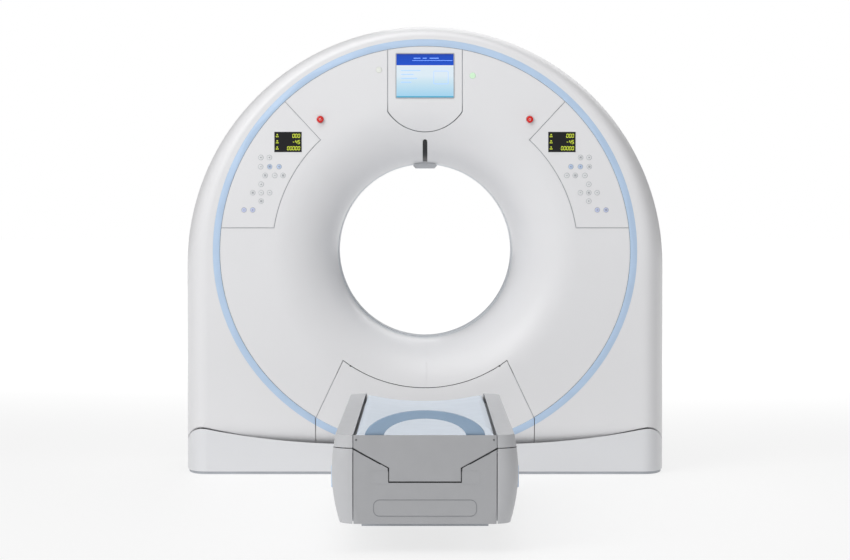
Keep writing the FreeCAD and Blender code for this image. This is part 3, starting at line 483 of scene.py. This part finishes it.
def pointed_bar(name, length, width, depth, upright):
    """A six-sided bar, the shape of one lit segment."""
    deselect()
    bpy.ops.mesh.primitive_cylinder_add(vertices=6, radius=width / math.sqrt(3), depth=depth,
                                        rotation=(math.pi / 2, 0, 0))
    piece = settle(name)
    axis = max((0, 2), key=lambda i: piece.dimensions[i])
    for side in (-1, 1):
        pick(piece, "verts", lambda vert: vert.co[axis] * side > width * 0.1)
        move = [0, 0, 0]
        move[axis] = side * (length / 2 - width / math.sqrt(3))
        bpy.ops.transform.translate(value=move)
        object_mode()
    if (axis == 2) != upright:
        choose(piece)
        piece.rotation_euler = (0, math.pi / 2, 0)
        settle()
    return piece


def screw(name, radius, centre):
    """A socket screw's head: a short disc with a round socket sunk in its face."""
    head = disc(name, radius, 2 * MM, centre, 24)
    pick(head, "faces", facing((0, -1, 0)))
    bpy.ops.mesh.inset(thickness=radius * 0.45)
    bpy.ops.mesh.inset(thickness=radius * 0.05, depth=-1.2 * MM)
    object_mode()
    return rounded(head, 0.3 * MM, 1)


def drape(piece, node, level):
    """Bends a piece that was made at y = level to follow a CAD node's front."""
    for vert in piece.data.vertices:
        vert.co.y += front_of(node, vert.co.x, vert.co.z) - level
    return piece


def front_of(node, x, z):
    """The y of a CAD node's surface seen from the front at one place."""
    hit, point, _, _ = frame["nodes"][node].ray_cast(Vector((x, -9.0, z)), Vector((0, 1, 0)))
    if not hit:
        raise RuntimeError(f"{node} has no surface at {x:.3f}, {z:.3f}")
    return point.y


FINISH = {}


def finish(name):
    """A material by its name; the finishes are made before the pieces."""
    if name not in FINISH:
        raise RuntimeError(f"the finish {name} is missing: run the finishes first")
    return FINISH[name]


# ---- what a user may change ----
class ScannerSizes(bpy.types.PropertyGroup):
    """Sizes of the added pieces."""

    key_height: FloatProperty(name="Key height", description="How far a membrane key stands out",
                              default=0.8 * MM, unit="LENGTH")
    digit_height: FloatProperty(name="Digit height", description="Height of the digits on the displays",
                                default=15.0 * MM, unit="LENGTH")
    digit_slant: FloatProperty(name="Digit slant", description="Lean of the digits to the right",
                               default=math.radians(6), subtype="ANGLE")
    mat_swell: FloatProperty(name="Mat swell", description="How far the mat's foam may bulge",
                             default=5.0 * MM, unit="LENGTH")
    handle_round: FloatProperty(name="Handle rounding", description="Radius on the end handle's edges",
                                default=9.0 * MM, unit="LENGTH")
    screw_radius: FloatProperty(name="Screw radius", description="Radius of the cover screws",
                                default=5.0 * MM, unit="LENGTH")
    lens: FloatProperty(name="Lens", description="Focal length of the camera in millimetres",
                        default=115.4)
    roundness: IntProperty(name="Roundness", description="Segments of a full circle on small parts",
                           default=40, min=12)


def colour_property(name, description, code):
    return FloatVectorProperty(name=name, description=description, subtype="COLOR", size=4,
                               min=0.0, max=1.0, default=srgb(code))


class ScannerColours(bpy.types.PropertyGroup):
    """Colours of the main finishes."""

    gantry: colour_property("Gantry covers", "Lacquer on the gantry's covers", "#e9e9eb")
    couch: colour_property("Couch covers", "Plastic of the couch's covers", "#c6c7ca")
    ends: colour_property("Couch ends", "Plastic of the couch's end panels", "#b0b1b4")
    base: colour_property("Gantry base", "Lacquer on the gantry's base", "#e4e5e8")
    ring: colour_property("Ring", "Inlay round the gantry's face", "#bcd3ee")
    handle: colour_property("Handle", "Plastic of the end handle", "#93abc4")
    mat: colour_property("Mat", "Vinyl of the mat", "#e1ebf7")
    digits: colour_property("Digits", "Lit segments of the displays", "#c3d23c")
    stop: colour_property("Stop buttons", "Plastic of the stop buttons", "#d8231f")


# ---- the pieces ----
class SCANNER_OT_stage(bpy.types.Operator):
    """Makes the floor, the studio light and the camera"""

    bl_idname = "scanner.stage"
    bl_label = "Stage"

    def execute(self, context):
        low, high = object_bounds()
        deselect()
        bpy.ops.mesh.primitive_plane_add(size=120, location=(0, 20, low.z))
        floor = settle("studio_floor")
        paint(floor, studio_floor("seamless studio floor"))
        floor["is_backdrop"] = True

        lights = (("key", (-5.5, -8.0, 6.5), 6.0, 450.0, (1.0, 0.995, 0.985)),
                  ("overhead", (-1.0, -2.5, 7.5), 6.0, 210.0, (1.0, 1.0, 1.0)),
                  ("fill", (7.0, -6.5, 3.5), 6.0, 6.0, (0.97, 0.985, 1.0)),
                  ("rear", (2.0, 8.0, 6.0), 6.0, 140.0, (1.0, 1.0, 1.0)))
        for name, place, size, power, colour in lights:
            bpy.ops.object.light_add(type="AREA", location=place)
            light = context.object
            light.name = "studio_" + name
            light.data.size, light.data.energy, light.data.color = size, power, colour
            aim = Vector((0, -0.6, 0.9)) - Vector(place)
            light.rotation_euler = aim.to_track_quat("-Z", "Y").to_euler()

        world = bpy.data.worlds.new("studio")
        context.scene.world = world
        world.use_nodes = True
        tree = world.node_tree
        tree.nodes.clear()
        # the backdrop is pure white to the eye, while its light on the machine is softer
        room = add_node(tree, "ShaderNodeBackground", inputs={"Strength": 0.25})
        room.inputs["Color"].default_value = (1.0, 1.0, 1.0, 1.0)
        seen = add_node(tree, "ShaderNodeBackground", inputs={"Strength": 1.0})
        seen.inputs["Color"].default_value = (1.0, 1.0, 1.0, 1.0)
        path = add_node(tree, "ShaderNodeLightPath")
        mix = add_node(tree, "ShaderNodeMixShader", inputs={"Fac": path.outputs["Is Camera Ray"]})
        tree.links.new(room.outputs[0], mix.inputs[1])
        tree.links.new(seen.outputs[0], mix.inputs[2])
        add_node(tree, "ShaderNodeOutputWorld", inputs={"Surface": mix.outputs[0]})
        context.scene.view_settings.view_transform = "Standard"

        bpy.ops.object.camera_add(location=(0.0, -12.31, 1.17),
                                  rotation=(math.radians(90 - 1.56), 0, 0))
        camera = context.object
        camera.data.sensor_width = 36.0
        camera.data.lens = context.scene.scanner_sizes.lens
        context.scene.camera = camera
        return {"FINISHED"}


class SCANNER_OT_finishes(bpy.types.Operator):
    """Makes the finishes and gives one to every CAD node"""

    bl_idname = "scanner.finishes"
    bl_label = "Finishes"

    def execute(self, context):
        hues = context.scene.scanner_colours
        made = {
            "gantry_white": painted_cover("satin lacquer on moulded glass fibre", hues.gantry),
            "base_white": painted_cover("satin lacquer on the base covers", hues.base),
            "couch_grey": moulded_abs("vacuum-formed ABS couch cover", hues.couch),
            "sky_blue": moulded_abs("moulded ABS ring inlay", hues.ring, 0.35),
            "handle_blue": moulded_abs("moulded ABS handle", hues.handle, 0.32),
            "liner": moulded_abs("moulded ABS bore liner", srgb("#dfe2e6"), 0.38),
            "window_film": smoked_acrylic("tinted scan window film", srgb("#b9c2cc")),
            "black_window": smoked_acrylic("smoked cast acrylic", srgb("#08090b")),
            "screen": lit_screen("lit liquid-crystal panel"),
            "keycap": moulded_abs("screen-printed membrane key", srgb("#e3e4e6"), 0.4),
            "stop_red": moulded_abs("moulded red stop button", hues.stop, 0.25),
            "lamp": glowing("moulded diffuser lens", srgb("#e6e8e2"), 0.05),
            "sensor_grey": smoked_acrylic("tinted polycarbonate sensor window", srgb("#c6c8cc")),
            "frame_paint": powder_coat("powder-coated welded steel", srgb("#b9bdc3")),
            "steel": turned_metal("ground bearing steel", srgb("#b4b6b9")),
            "aluminium": turned_metal("milled aluminium", srgb("#c9cbce"), 0.38),
            "motor_paint": powder_coat("enamelled motor casting", srgb("#4b545e")),
            "belt_rubber": black_rubber("moulded neoprene belt"),
            "skirt_grey": moulded_abs("folded polypropylene skirt", srgb("#c3c6cb"), 0.5),
            "carbon": carbon_laminate("carbon-fibre laminate tabletop"),
            "mat_blue": mat_vinyl("coated vinyl mat", hues.mat),
            "tube_lead": powder_coat("lead-lined enamelled tube housing", srgb("#d8dadd")),
            "electronics": powder_coat("powder-coated electronics case", srgb("#2f3439")),
            "slip_copper": turned_metal("turned copper slip ring", srgb("#c58a5b"), 0.25),
            "lamp_green": glowing("green diffuser lens", srgb("#c9e8c8"), 0.2),
            "digit": glowing("lit display segment", hues.digits, 0.9),
            "key_blue": moulded_abs("blue screen-printed key", srgb("#bccde8"), 0.4),
            "key_violet": moulded_abs("violet screen-printed key", srgb("#c6cdea"), 0.4),
            "ink_grey": printed_ink("grey printed outline", srgb("#a9acb1")),
            "ink_dark": printed_ink("dark printed mark", srgb("#7d828a")),
            # near-black: painted shade in the ring's inner gap and in the seam round the couch's tongue; the
            # cover screws are painted with it too
            "shadow_gap": moulded_abs("black rubber gap seal", srgb("#1b1c1f"), 0.7),
            "bumper_blue": moulded_abs("soft bumper strip", srgb("#c9dcf2"), 0.5),
            "end_grey": moulded_abs("moulded ABS end panel", hues.ends),
            # darker grey line round the couch's end panel: painted shade for the groove there
            "line_grey": printed_ink("moulded-in outline", srgb("#8f9195")),
            "header_line": glowing("lit header line", srgb("#7aa2f0"), 0.9),
            "fan_black": moulded_abs("moulded black fan frame", srgb("#1c1d1f"), 0.55),
        }
        FINISH.update(made)
        for node in frame["nodes"].values():
            slot = next((m.name for m in node.data.materials if m), "")
            name = NODE_FINISH.get(node.name) or slot.split(".")[0]
            paint(node, finish(name))
        return {"FINISHED"}


# the CAD nodes whose finish isn't plain from their slot
NODE_FINISH = {
    "front_shell": "gantry_white", "lower_panel": "gantry_white", "front_cover": "gantry_white",
    "control_panels": "gantry_white", "monitor_panel": "gantry_white", "rear_cover": "gantry_white",
    "rear_shell": "gantry_white", "base_cover": "base_white", "ring_trim": "sky_blue",
    "laser_window": "black_window", "led_windows": "black_window", "display_screen": "screen",
    "keys": "keycap", "emergency_stop_left": "stop_red", "emergency_stop_right": "stop_red",
    "stop_bezels": "gantry_white", "status_lamps": "lamp", "funnel_strip": "gantry_white",
    "patient_sensor": "sensor_grey", "bore_liners": "liner", "scan_window": "window_film",
    "cover_frame": "frame_paint", "gantry_base_frame": "frame_paint", "tilt_frame": "frame_paint",
    "tilt_bearings": "steel", "bearing_outer_race": "steel", "bearing_inner_race": "steel",
    "tilt_drive": "motor_paint", "rotor_motor": "motor_paint", "lift_motor": "motor_paint",
    "table_drive": "motor_paint", "floor_duct": "aluminium", "drive_pulley": "aluminium",
    "drive_belt": "belt_rubber", "cooling_fans": "fan_black", "rotor_drum": "aluminium",
    "slip_ring": "slip_copper", "xray_tube": "tube_lead", "collimator": "steel",
    "detector_array": "electronics", "high_voltage_generator": "tube_lead",
    "heat_exchanger": "aluminium", "rotor_computer": "electronics",
    "couch_lower_cover": "couch_grey", "couch_lower_end_panel": "end_grey",
    "couch_upper_cover": "couch_grey", "couch_upper_end_panel": "end_grey",
    "skirt_outer": "skirt_grey", "skirt_middle": "skirt_grey", "skirt_inner": "skirt_grey",
    "lift_arm_a": "frame_paint", "lift_arm_b": "frame_paint", "lift_nut": "steel",
    "lift_screw": "steel", "couch_base": "frame_paint", "couch_top_frame": "frame_paint",
    "table_rails": "aluminium", "tabletop": "carbon", "mat": "mat_blue", "end_handle": "handle_blue",
}


class SCANNER_OT_keys(bpy.types.Operator):
    """Models one membrane key of each kind and copies it to every key's place"""

    bl_idname = "scanner.keys"
    bl_label = "Keys"

    def execute(self, context):
        sizes = context.scene.scanner_sizes
        masters, keys, marks = {}, [], []
        for number, (low, high) in enumerate(solids_of("keys")):
            centre, radius = (low + high) / 2, (high.x - low.x) / 2
            height = centre.z - ISO_Z
            blue = BLUE_ROW[0] < height < BLUE_ROW[1] and abs(centre.x) < BLUE_WITHIN
            cap = "key_violet" if height < VIOLET_BELOW else "key_blue" if blue else "keycap"
            kind = (cap, round(radius, 4))
            if kind not in masters:
                key = disc("key", radius, high.y - low.y, (0, 0, 0), sizes.roundness)
                pick(key, "faces", facing((0, -1, 0)))
                bpy.ops.mesh.inset(thickness=radius * 0.12)
                bpy.ops.mesh.inset(thickness=radius * 0.10, depth=sizes.key_height / 2)
                bpy.ops.mesh.inset(thickness=radius * 0.30, depth=sizes.key_height / 2)
                object_mode()
                paint(key, finish("ink_grey"), finish(cap))
                paint_where(key, 1, lambda face:
                            math.hypot(*face.calc_center_median().xz) < radius * 0.85)
                masters[kind] = smooth(key)
            keys.append(copy_of(masters[kind], centre))
            front = low.y - sizes.key_height
            long, thin = radius * 0.62, radius * 0.14
            marks.append(block("mark", (long, INK, thin), (centre.x, front, centre.z)))
            if number % 3:
                marks.append(block("mark", (thin, INK, long), (centre.x, front, centre.z)))
            if number % 3 == 2:
                marks.append(rim("mark", long * 1.3, long * 1.3, (centre.x, front, centre.z),
                                 thin * 0.6, INK))
        for master in masters.values():
            bpy.data.objects.remove(master)
        done(need(joined("membrane_keys", keys)), TILTING, replaces=("keys",))
        done(paint(need(joined("key_marks", marks)), finish("ink_dark")), TILTING)
        return {"FINISHED"}


class SCANNER_OT_readouts(bpy.types.Operator):
    """Writes lit digits, row icons and rims on the two number displays"""

    bl_idname = "scanner.readouts"
    bl_label = "Number displays"

    LIT = {"0": "abcdef", "1": "bc", "2": "abged", "3": "abgcd", "4": "fgbc", "5": "afgcd",
           "6": "afgedc", "7": "abc", "8": "abcdefg", "9": "abfgcd", "-": "g"}

    def execute(self, context):
        sizes = context.scene.scanner_sizes
        high = sizes.digit_height
        wide, bar, thick = high * 0.5, high * 0.12, 0.6 * MM
        flat = pointed_bar("flat", wide * 0.92, bar, thick, False)
        tall = pointed_bar("tall", high * 0.46, bar, thick, True)
        spots = {"a": (flat, 0, high / 2), "g": (flat, 0, 0), "d": (flat, 0, -high / 2),
                 "f": (tall, -wide / 2, high / 4), "b": (tall, wide / 2, high / 4),
                 "e": (tall, -wide / 2, -high / 4), "c": (tall, wide / 2, -high / 4)}
        lean = math.tan(sizes.digit_slant)
        for side, (low, top) in zip((-1, 1), solids_of("led_windows")):
            centre, front = (low + top) / 2, low.y - thick / 3
            lit = []
            for row, text in enumerate(READINGS):
                z = centre.z + (1 - row) * high * 1.8
                x = top.x - 9 * MM - wide * 0.5
                for letter in reversed(text):
                    for name in self.LIT[letter]:
                        bar_of, dx, dz = spots[name]
                        lit.append(copy_of(bar_of, (x + dx + dz * lean, front, z + dz)))
                    x -= wide * 1.55
                icon_x = low.x + 13 * MM
                lit.append(rim("icon", 11 * MM, 5 * MM, (icon_x, front, z - 3 * MM), 1.2 * MM, thick))
                deselect()
                bpy.ops.mesh.primitive_cylinder_add(vertices=3, radius=4 * MM, depth=thick,
                                                    location=(icon_x, front, z + 5 * MM),
                                                    rotation=(math.pi / 2, row * math.pi / 2, 0))
                lit.append(settle("icon"))
            name = "left" if side < 0 else "right"
            done(paint(need(joined("digits_" + name, lit)), finish("digit")), TILTING)
            frame_piece = rim("display_rim_" + name, top.x - low.x + 7 * MM, top.z - low.z + 7 * MM,
                              (centre.x, low.y, centre.z), 4 * MM, 2.4 * MM, 3 * MM)
            done(paint(rounded(need(frame_piece), 0.5 * MM), finish("gantry_white")), TILTING)
        bpy.data.objects.remove(flat)
        bpy.data.objects.remove(tall)
        return {"FINISHED"}


class SCANNER_OT_screen(bpy.types.Operator):
    """Adds the screen's frame, its header line and its lit marks"""

    bl_idname = "scanner.screen"
    bl_label = "Screen"

    def execute(self, context):
        low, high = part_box("display_screen")
        width, height, front = high.x - low.x, high.z - low.z, low.y - INK
        centre = (low + high) / 2
        edge = rim("screen_frame", width + 8 * MM, height + 8 * MM, (centre.x, low.y, centre.z),
                   4 * MM, 3 * MM, 4 * MM)
        done(paint(rounded(need(edge), 0.8 * MM), finish("ink_grey")), TILTING)
        line_z = high.z - height * HEADER_SHARE * 0.58
        line = block("header_line", (width * 0.70, 0.4 * MM, 1.6 * MM),
                     (low.x + width * 0.63, front, line_z))
        marks = [line] + [block("entry", (width * w, 0.4 * MM, 2.6 * MM),
                                (low.x + width * (x + w / 2), front, line_z + 10 * MM))
                          for x, w in ((0.30, 0.12), (0.46, 0.07), (0.58, 0.16))]
        done(paint(need(joined("header_marks", marks)), finish("header_line")), TILTING)
        rows = [block("row", (width * w, 0.4 * MM, 2.2 * MM),
                      (low.x + width * (0.08 + w / 2), front, low.z + height * z))
                for w, z in ((0.34, 0.62), (0.22, 0.53), (0.28, 0.44), (0.18, 0.35))]
        badge = rim("badge", width * 0.26, height * 0.30, (low.x + width * 0.78, front,
                    low.z + height * 0.46), 1.4 * MM, 0.4 * MM, 5 * MM)
        done(paint(need(joined("screen_rows", rows + [badge])), finish("header_line")), TILTING)
        return {"FINISHED"}


class SCANNER_OT_buttons(bpy.types.Operator):
    """Rounds the stop buttons, their bezels and the status lamps"""

    bl_idname = "scanner.buttons"
    bl_label = "Stop buttons and lamps"

    def execute(self, context):
        for side in ("left", "right"):
            node = "emergency_stop_" + side
            low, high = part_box(node)
            button = rounded(merged(node, "stop_button_cap_" + side), 2.5 * MM, 4)
            paint(smooth(need(button)), finish("stop_red"))
            done(button, "stop_button_" + side, replaces=(node,))
            centre = (low + high) / 2
            mark = rim("stop_mark_" + side, 9 * MM, 9 * MM, (centre.x, low.y - 0.1 * MM, centre.z),
                       1.2 * MM, 0.5 * MM, 4.4 * MM)
            done(paint(need(mark), finish("gantry_white")), "stop_button_" + side)
        bezels = rounded(merged("stop_bezels", "stop_button_bezels"), 1.2 * MM, 3)
        done(paint(smooth(need(bezels)), finish("gantry_white")), TILTING, replaces=("stop_bezels",))
        lamps = rounded(merged("status_lamps", "status_lamp_lenses"), 1.5 * MM, 3)
        paint(smooth(need(lamps)), finish("lamp"), finish("lamp_green"))
        paint_where(lamps, 1, lambda face: face.calc_center_median().x > 0)
        done(lamps, TILTING, replaces=("status_lamps",))
        rings = []
        for low, high in solids_of("status_lamps"):
            centre, size = (low + high) / 2, high.x - low.x
            rings.append(rim("lamp_ring", size + 6 * MM, size + 6 * MM, (centre.x, high.y - 1 * MM, centre.z),
                             3 * MM, 3 * MM, (size + 6 * MM) * 0.49))
        done(paint(need(joined("lamp_rings", rings)), finish("ink_grey")), TILTING)
        return {"FINISHED"}


class SCANNER_OT_ring(bpy.types.Operator):
    """Gives the ring round the face softened edges, and paints its inner wall near-black: painted shade in
    the gap where the front cover stands proud
    """

    bl_idname = "scanner.ring"
    bl_label = "Ring"

    def execute(self, context):
        ring = merged("ring_trim", "ring_inlay")
        # faces of the inner wall, which face the bore's axis, get the near-black finish: painted shade in the
        # gap
        paint(ring, finish("sky_blue"), finish("shadow_gap"))
        paint_where(ring, 1, lambda face: abs(face.normal.y) < 0.5 and face.normal.dot(
            face.calc_center_median() - Vector((0, face.calc_center_median().y, ISO_Z))) < 0)
        done(smooth(need(rounded(ring, 0.8 * MM, 2)), 30), TILTING, replaces=("ring_trim",))
        return {"FINISHED"}


class SCANNER_OT_laser(bpy.types.Operator):
    """Adds the slide, the crossbar and the lip of the positioning laser's slot"""

    bl_idname = "scanner.laser"
    bl_label = "Laser slot"

    def execute(self, context):
        low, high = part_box("laser_window")
        top_z, foot_z = high.z - 8 * MM, low.z + 6 * MM
        top = Vector((0, front_of("laser_window", 0, top_z), top_z))
        foot = Vector((0, front_of("laser_window", 0, foot_z), foot_z))
        along = top - foot
        tilt = -math.atan2(along.y, along.z)
        half = (high.x - low.x) / 2
        parts = []
        for name, x, width, start, end, colour in (
                ("slide", 0, 5 * MM, 0.05, 0.80, "aluminium"),
                ("slot_lip", -half, 1.6 * MM, 0, 1, "gantry_white"),
                ("slot_lip", half, 1.6 * MM, 0, 1, "gantry_white"),
                ("crossbar", 0, 16 * MM, 0.52, 0.57, "ink_grey"),
                ("crossbar", 0, 16 * MM, 0.30, 0.33, "ink_grey")):
            deselect()
            bpy.ops.mesh.primitive_cube_add(size=1, location=foot + along * (start + end) / 2,
                                            rotation=(tilt, 0, 0))
            bar = bpy.context.object
            bar.location.x = x
            bar.scale = (width, 1.6 * MM, along.length * (end - start))
            bar = rounded(settle(name), 0.4 * MM, 2)
            parts.append(paint(bar, finish(colour)))
        done(need(joined("laser_slide", parts)), TILTING)
        return {"FINISHED"}


class SCANNER_OT_handle(bpy.types.Operator):
    """Rounds the arched handle at the foot of the table"""

    bl_idname = "scanner.handle"
    bl_label = "Handle"

    def execute(self, context):
        handle = rounded(merged("end_handle", "arched_handle"), context.scene.scanner_sizes.handle_round, 5)
        done(paint(smooth(need(handle), 50), finish("handle_blue")), TABLE, replaces=("end_handle",))
        return {"FINISHED"}


class SCANNER_OT_mat(bpy.types.Operator):
    """Pads the mat: its foam swells by a few millimetres between its edges"""

    bl_idname = "scanner.mat"
    bl_label = "Mat"

    def execute(self, context):
        swell = context.scene.scanner_sizes.mat_swell
        mat = merged("mat", "padded_mat")
        even = mat.modifiers.new("Even faces", "REMESH")
        even.mode, even.voxel_size = "VOXEL", 6 * MM
        bpy.ops.object.modifier_apply(modifier=even.name)
        start = [vert.co.copy() for vert in mat.data.vertices]
        under = mat.vertex_groups.new(name="under")
        under.add([vert.index for vert in mat.data.vertices if vert.normal.z < 0.2], 1.0, "REPLACE")
        foam = mat.modifiers.new("Foam", "CLOTH")
        foam.settings.use_pressure = True
        foam.settings.uniform_pressure_force = 4.0
        foam.settings.vertex_group_mass = "under"
        foam.settings.effector_weights.gravity = 0.0
        foam.point_cache.frame_start, foam.point_cache.frame_end = 1, 20
        for step in range(1, 21):
            context.scene.frame_set(step)
        choose(mat)
        bpy.ops.object.modifier_apply(modifier=foam.name)
        context.scene.frame_set(1)
        for vert, old in zip(mat.data.vertices, start):
            shift = vert.co - old
            if shift.length > swell:
                vert.co = old + shift * (swell / shift.length)
        paint(smooth(need(mat), 60), finish("mat_blue"))
        done(mat, TABLE, replaces=("mat",))
        return {"FINISHED"}


class SCANNER_OT_couch(bpy.types.Operator):
    """Adds the couch's bumper strips, faint squares and cover screws, and darker lines as painted shade in
    the groove round the end panel and in the seam round the tongue
    """

    bl_idname = "scanner.couch"
    bl_label = "Couch details"

    def execute(self, context):
        radius = context.scene.scanner_sizes.screw_radius
        panel = "couch_lower_end_panel"
        level = front_of(panel, 0, SHADE_LINE_Z)
        # a darker outline laid over the end panel, slightly proud of it: painted shade for the groove round
        # the panel
        groove_shade = rim("panel_bead", *SHADE_LINE_SIZE, (0, level, SHADE_LINE_Z), 2.5 * MM, 1.6 * MM, SHADE_LINE_CORNER)
        drape(groove_shade, panel, level)
        done(paint(rounded(need(groove_shade), 0.4 * MM), finish("line_grey")), FIXED)
        squares = []
        for side in (-1, 1):
            square = rim("cover_square", *SQUARE_SIZE, (side * SQUARE_AT[0], level, SQUARE_AT[1]),
                         1.5 * MM, 1.0 * MM, 5 * MM)
            squares.append(drape(square, panel, level))
        done(paint(need(joined("cover_squares", squares)), finish("end_grey")), FIXED)
        # near-black strips set just behind the surface in the seam round the tongue, left to right: painted
        # shade in the seam
        line = [(-x, z) for x, z in TONGUE_SEAM] + list(TONGUE_SEAM[::-1])
        seam_shades = []
        for (x0, z0), (x1, z1) in zip(line, line[1:]):
            length = math.hypot(x1 - x0, z1 - z0)
            x, z = (x0 + x1) / 2, (z0 + z1) / 2
            side_x, side_z = (z1 - z0) / length, (x0 - x1) / length
            y = front_of(panel, x + side_x * 6 * MM, z + side_z * 6 * MM)
            seam_shades.append(block("seal", (length + 3 * MM, 2.5 * MM, 4 * MM),
                               (x + side_x * 1.5 * MM, y + 1.0 * MM, z + side_z * 1.5 * MM),
                               -math.atan2(z1 - z0, x1 - x0)))
        done(paint(need(joined("tongue_seal", seam_shades)), finish("shadow_gap")), FIXED)
        low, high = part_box("couch_lower_cover")
        strips = []
        for side in (-1, 1):
            strip = block("strip", (BUMPER_SIZE[0], (high.y - low.y) * BUMPER_SHARE, BUMPER_SIZE[1]),
                          (side * high.x, (low.y + high.y) / 2, BUMPER_Z))
            strips.append(rounded(strip, 3.5 * MM, 4))
        done(paint(smooth(need(joined("bumper_strips", strips))), finish("bumper_blue")), FIXED)
        screws = []
        for side in (-1, 1):
            x, z = side * END_SCREW[0], END_SCREW[1]
            place = (x, front_of("couch_upper_end_panel", x, z), z)
            screws.append(screw("couch_screw", radius * 0.6, place))
        done(paint(need(joined("couch_screws", screws)), finish("shadow_gap")), RISING)
        return {"FINISHED"}


class SCANNER_OT_screws(bpy.types.Operator):
    """Adds the gantry's cover screws"""

    bl_idname = "scanner.screws"
    bl_label = "Cover screws"

    def execute(self, context):
        radius = context.scene.scanner_sizes.screw_radius
        screws = []
        for side in (-1, 1):
            place = Vector((side * PANEL_SCREW[0], 0, ISO_Z + PANEL_SCREW[1]))
            place.y = front_of("lower_panel", place.x, place.z)
            screws.append(screw("cover_screw", radius * 0.8, place))
        done(paint(need(joined("cover_screws", screws)), finish("shadow_gap")), TILTING)
        return {"FINISHED"}


class SCANNER_PT_panel(bpy.types.Panel):
    """Lists the scanner's pieces and what may be changed about them"""

    bl_idname = "SCANNER_PT_panel"
    bl_label = "CT Scanner"
    bl_space_type = "VIEW_3D"
    bl_region_type = "UI"
    bl_category = "CT Scanner"

    def draw(self, context):
        layout = self.layout
        for group in (context.scene.scanner_sizes, context.scene.scanner_colours):
            box = layout.box()
            for name in type(group).__annotations__:
                box.prop(group, name)
        for operator in PIECES:
            layout.operator(operator.bl_idname)


PIECES = (SCANNER_OT_stage, SCANNER_OT_finishes, SCANNER_OT_keys, SCANNER_OT_readouts,
          SCANNER_OT_screen, SCANNER_OT_buttons, SCANNER_OT_ring, SCANNER_OT_laser,
          SCANNER_OT_handle, SCANNER_OT_mat, SCANNER_OT_couch, SCANNER_OT_screws)
CLASSES = (ScannerSizes, ScannerColours, *PIECES, SCANNER_PT_panel)


def register():
    for cls in CLASSES:
        bpy.utils.register_class(cls)
    bpy.types.Scene.scanner_sizes = PointerProperty(type=ScannerSizes)
    bpy.types.Scene.scanner_colours = PointerProperty(type=ScannerColours)


def unregister():
    del bpy.types.Scene.scanner_colours
    del bpy.types.Scene.scanner_sizes
    for cls in reversed(CLASSES):
        bpy.utils.unregister_class(cls)


def main():
    register()
    scanner = bpy.ops.scanner
    for piece in (scanner.stage, scanner.finishes, scanner.keys, scanner.readouts, scanner.screen,
                  scanner.buttons, scanner.ring, scanner.laser, scanner.handle, scanner.mat,
                  scanner.couch, scanner.screws):
        piece()


if __name__ == "__main__":
    main()
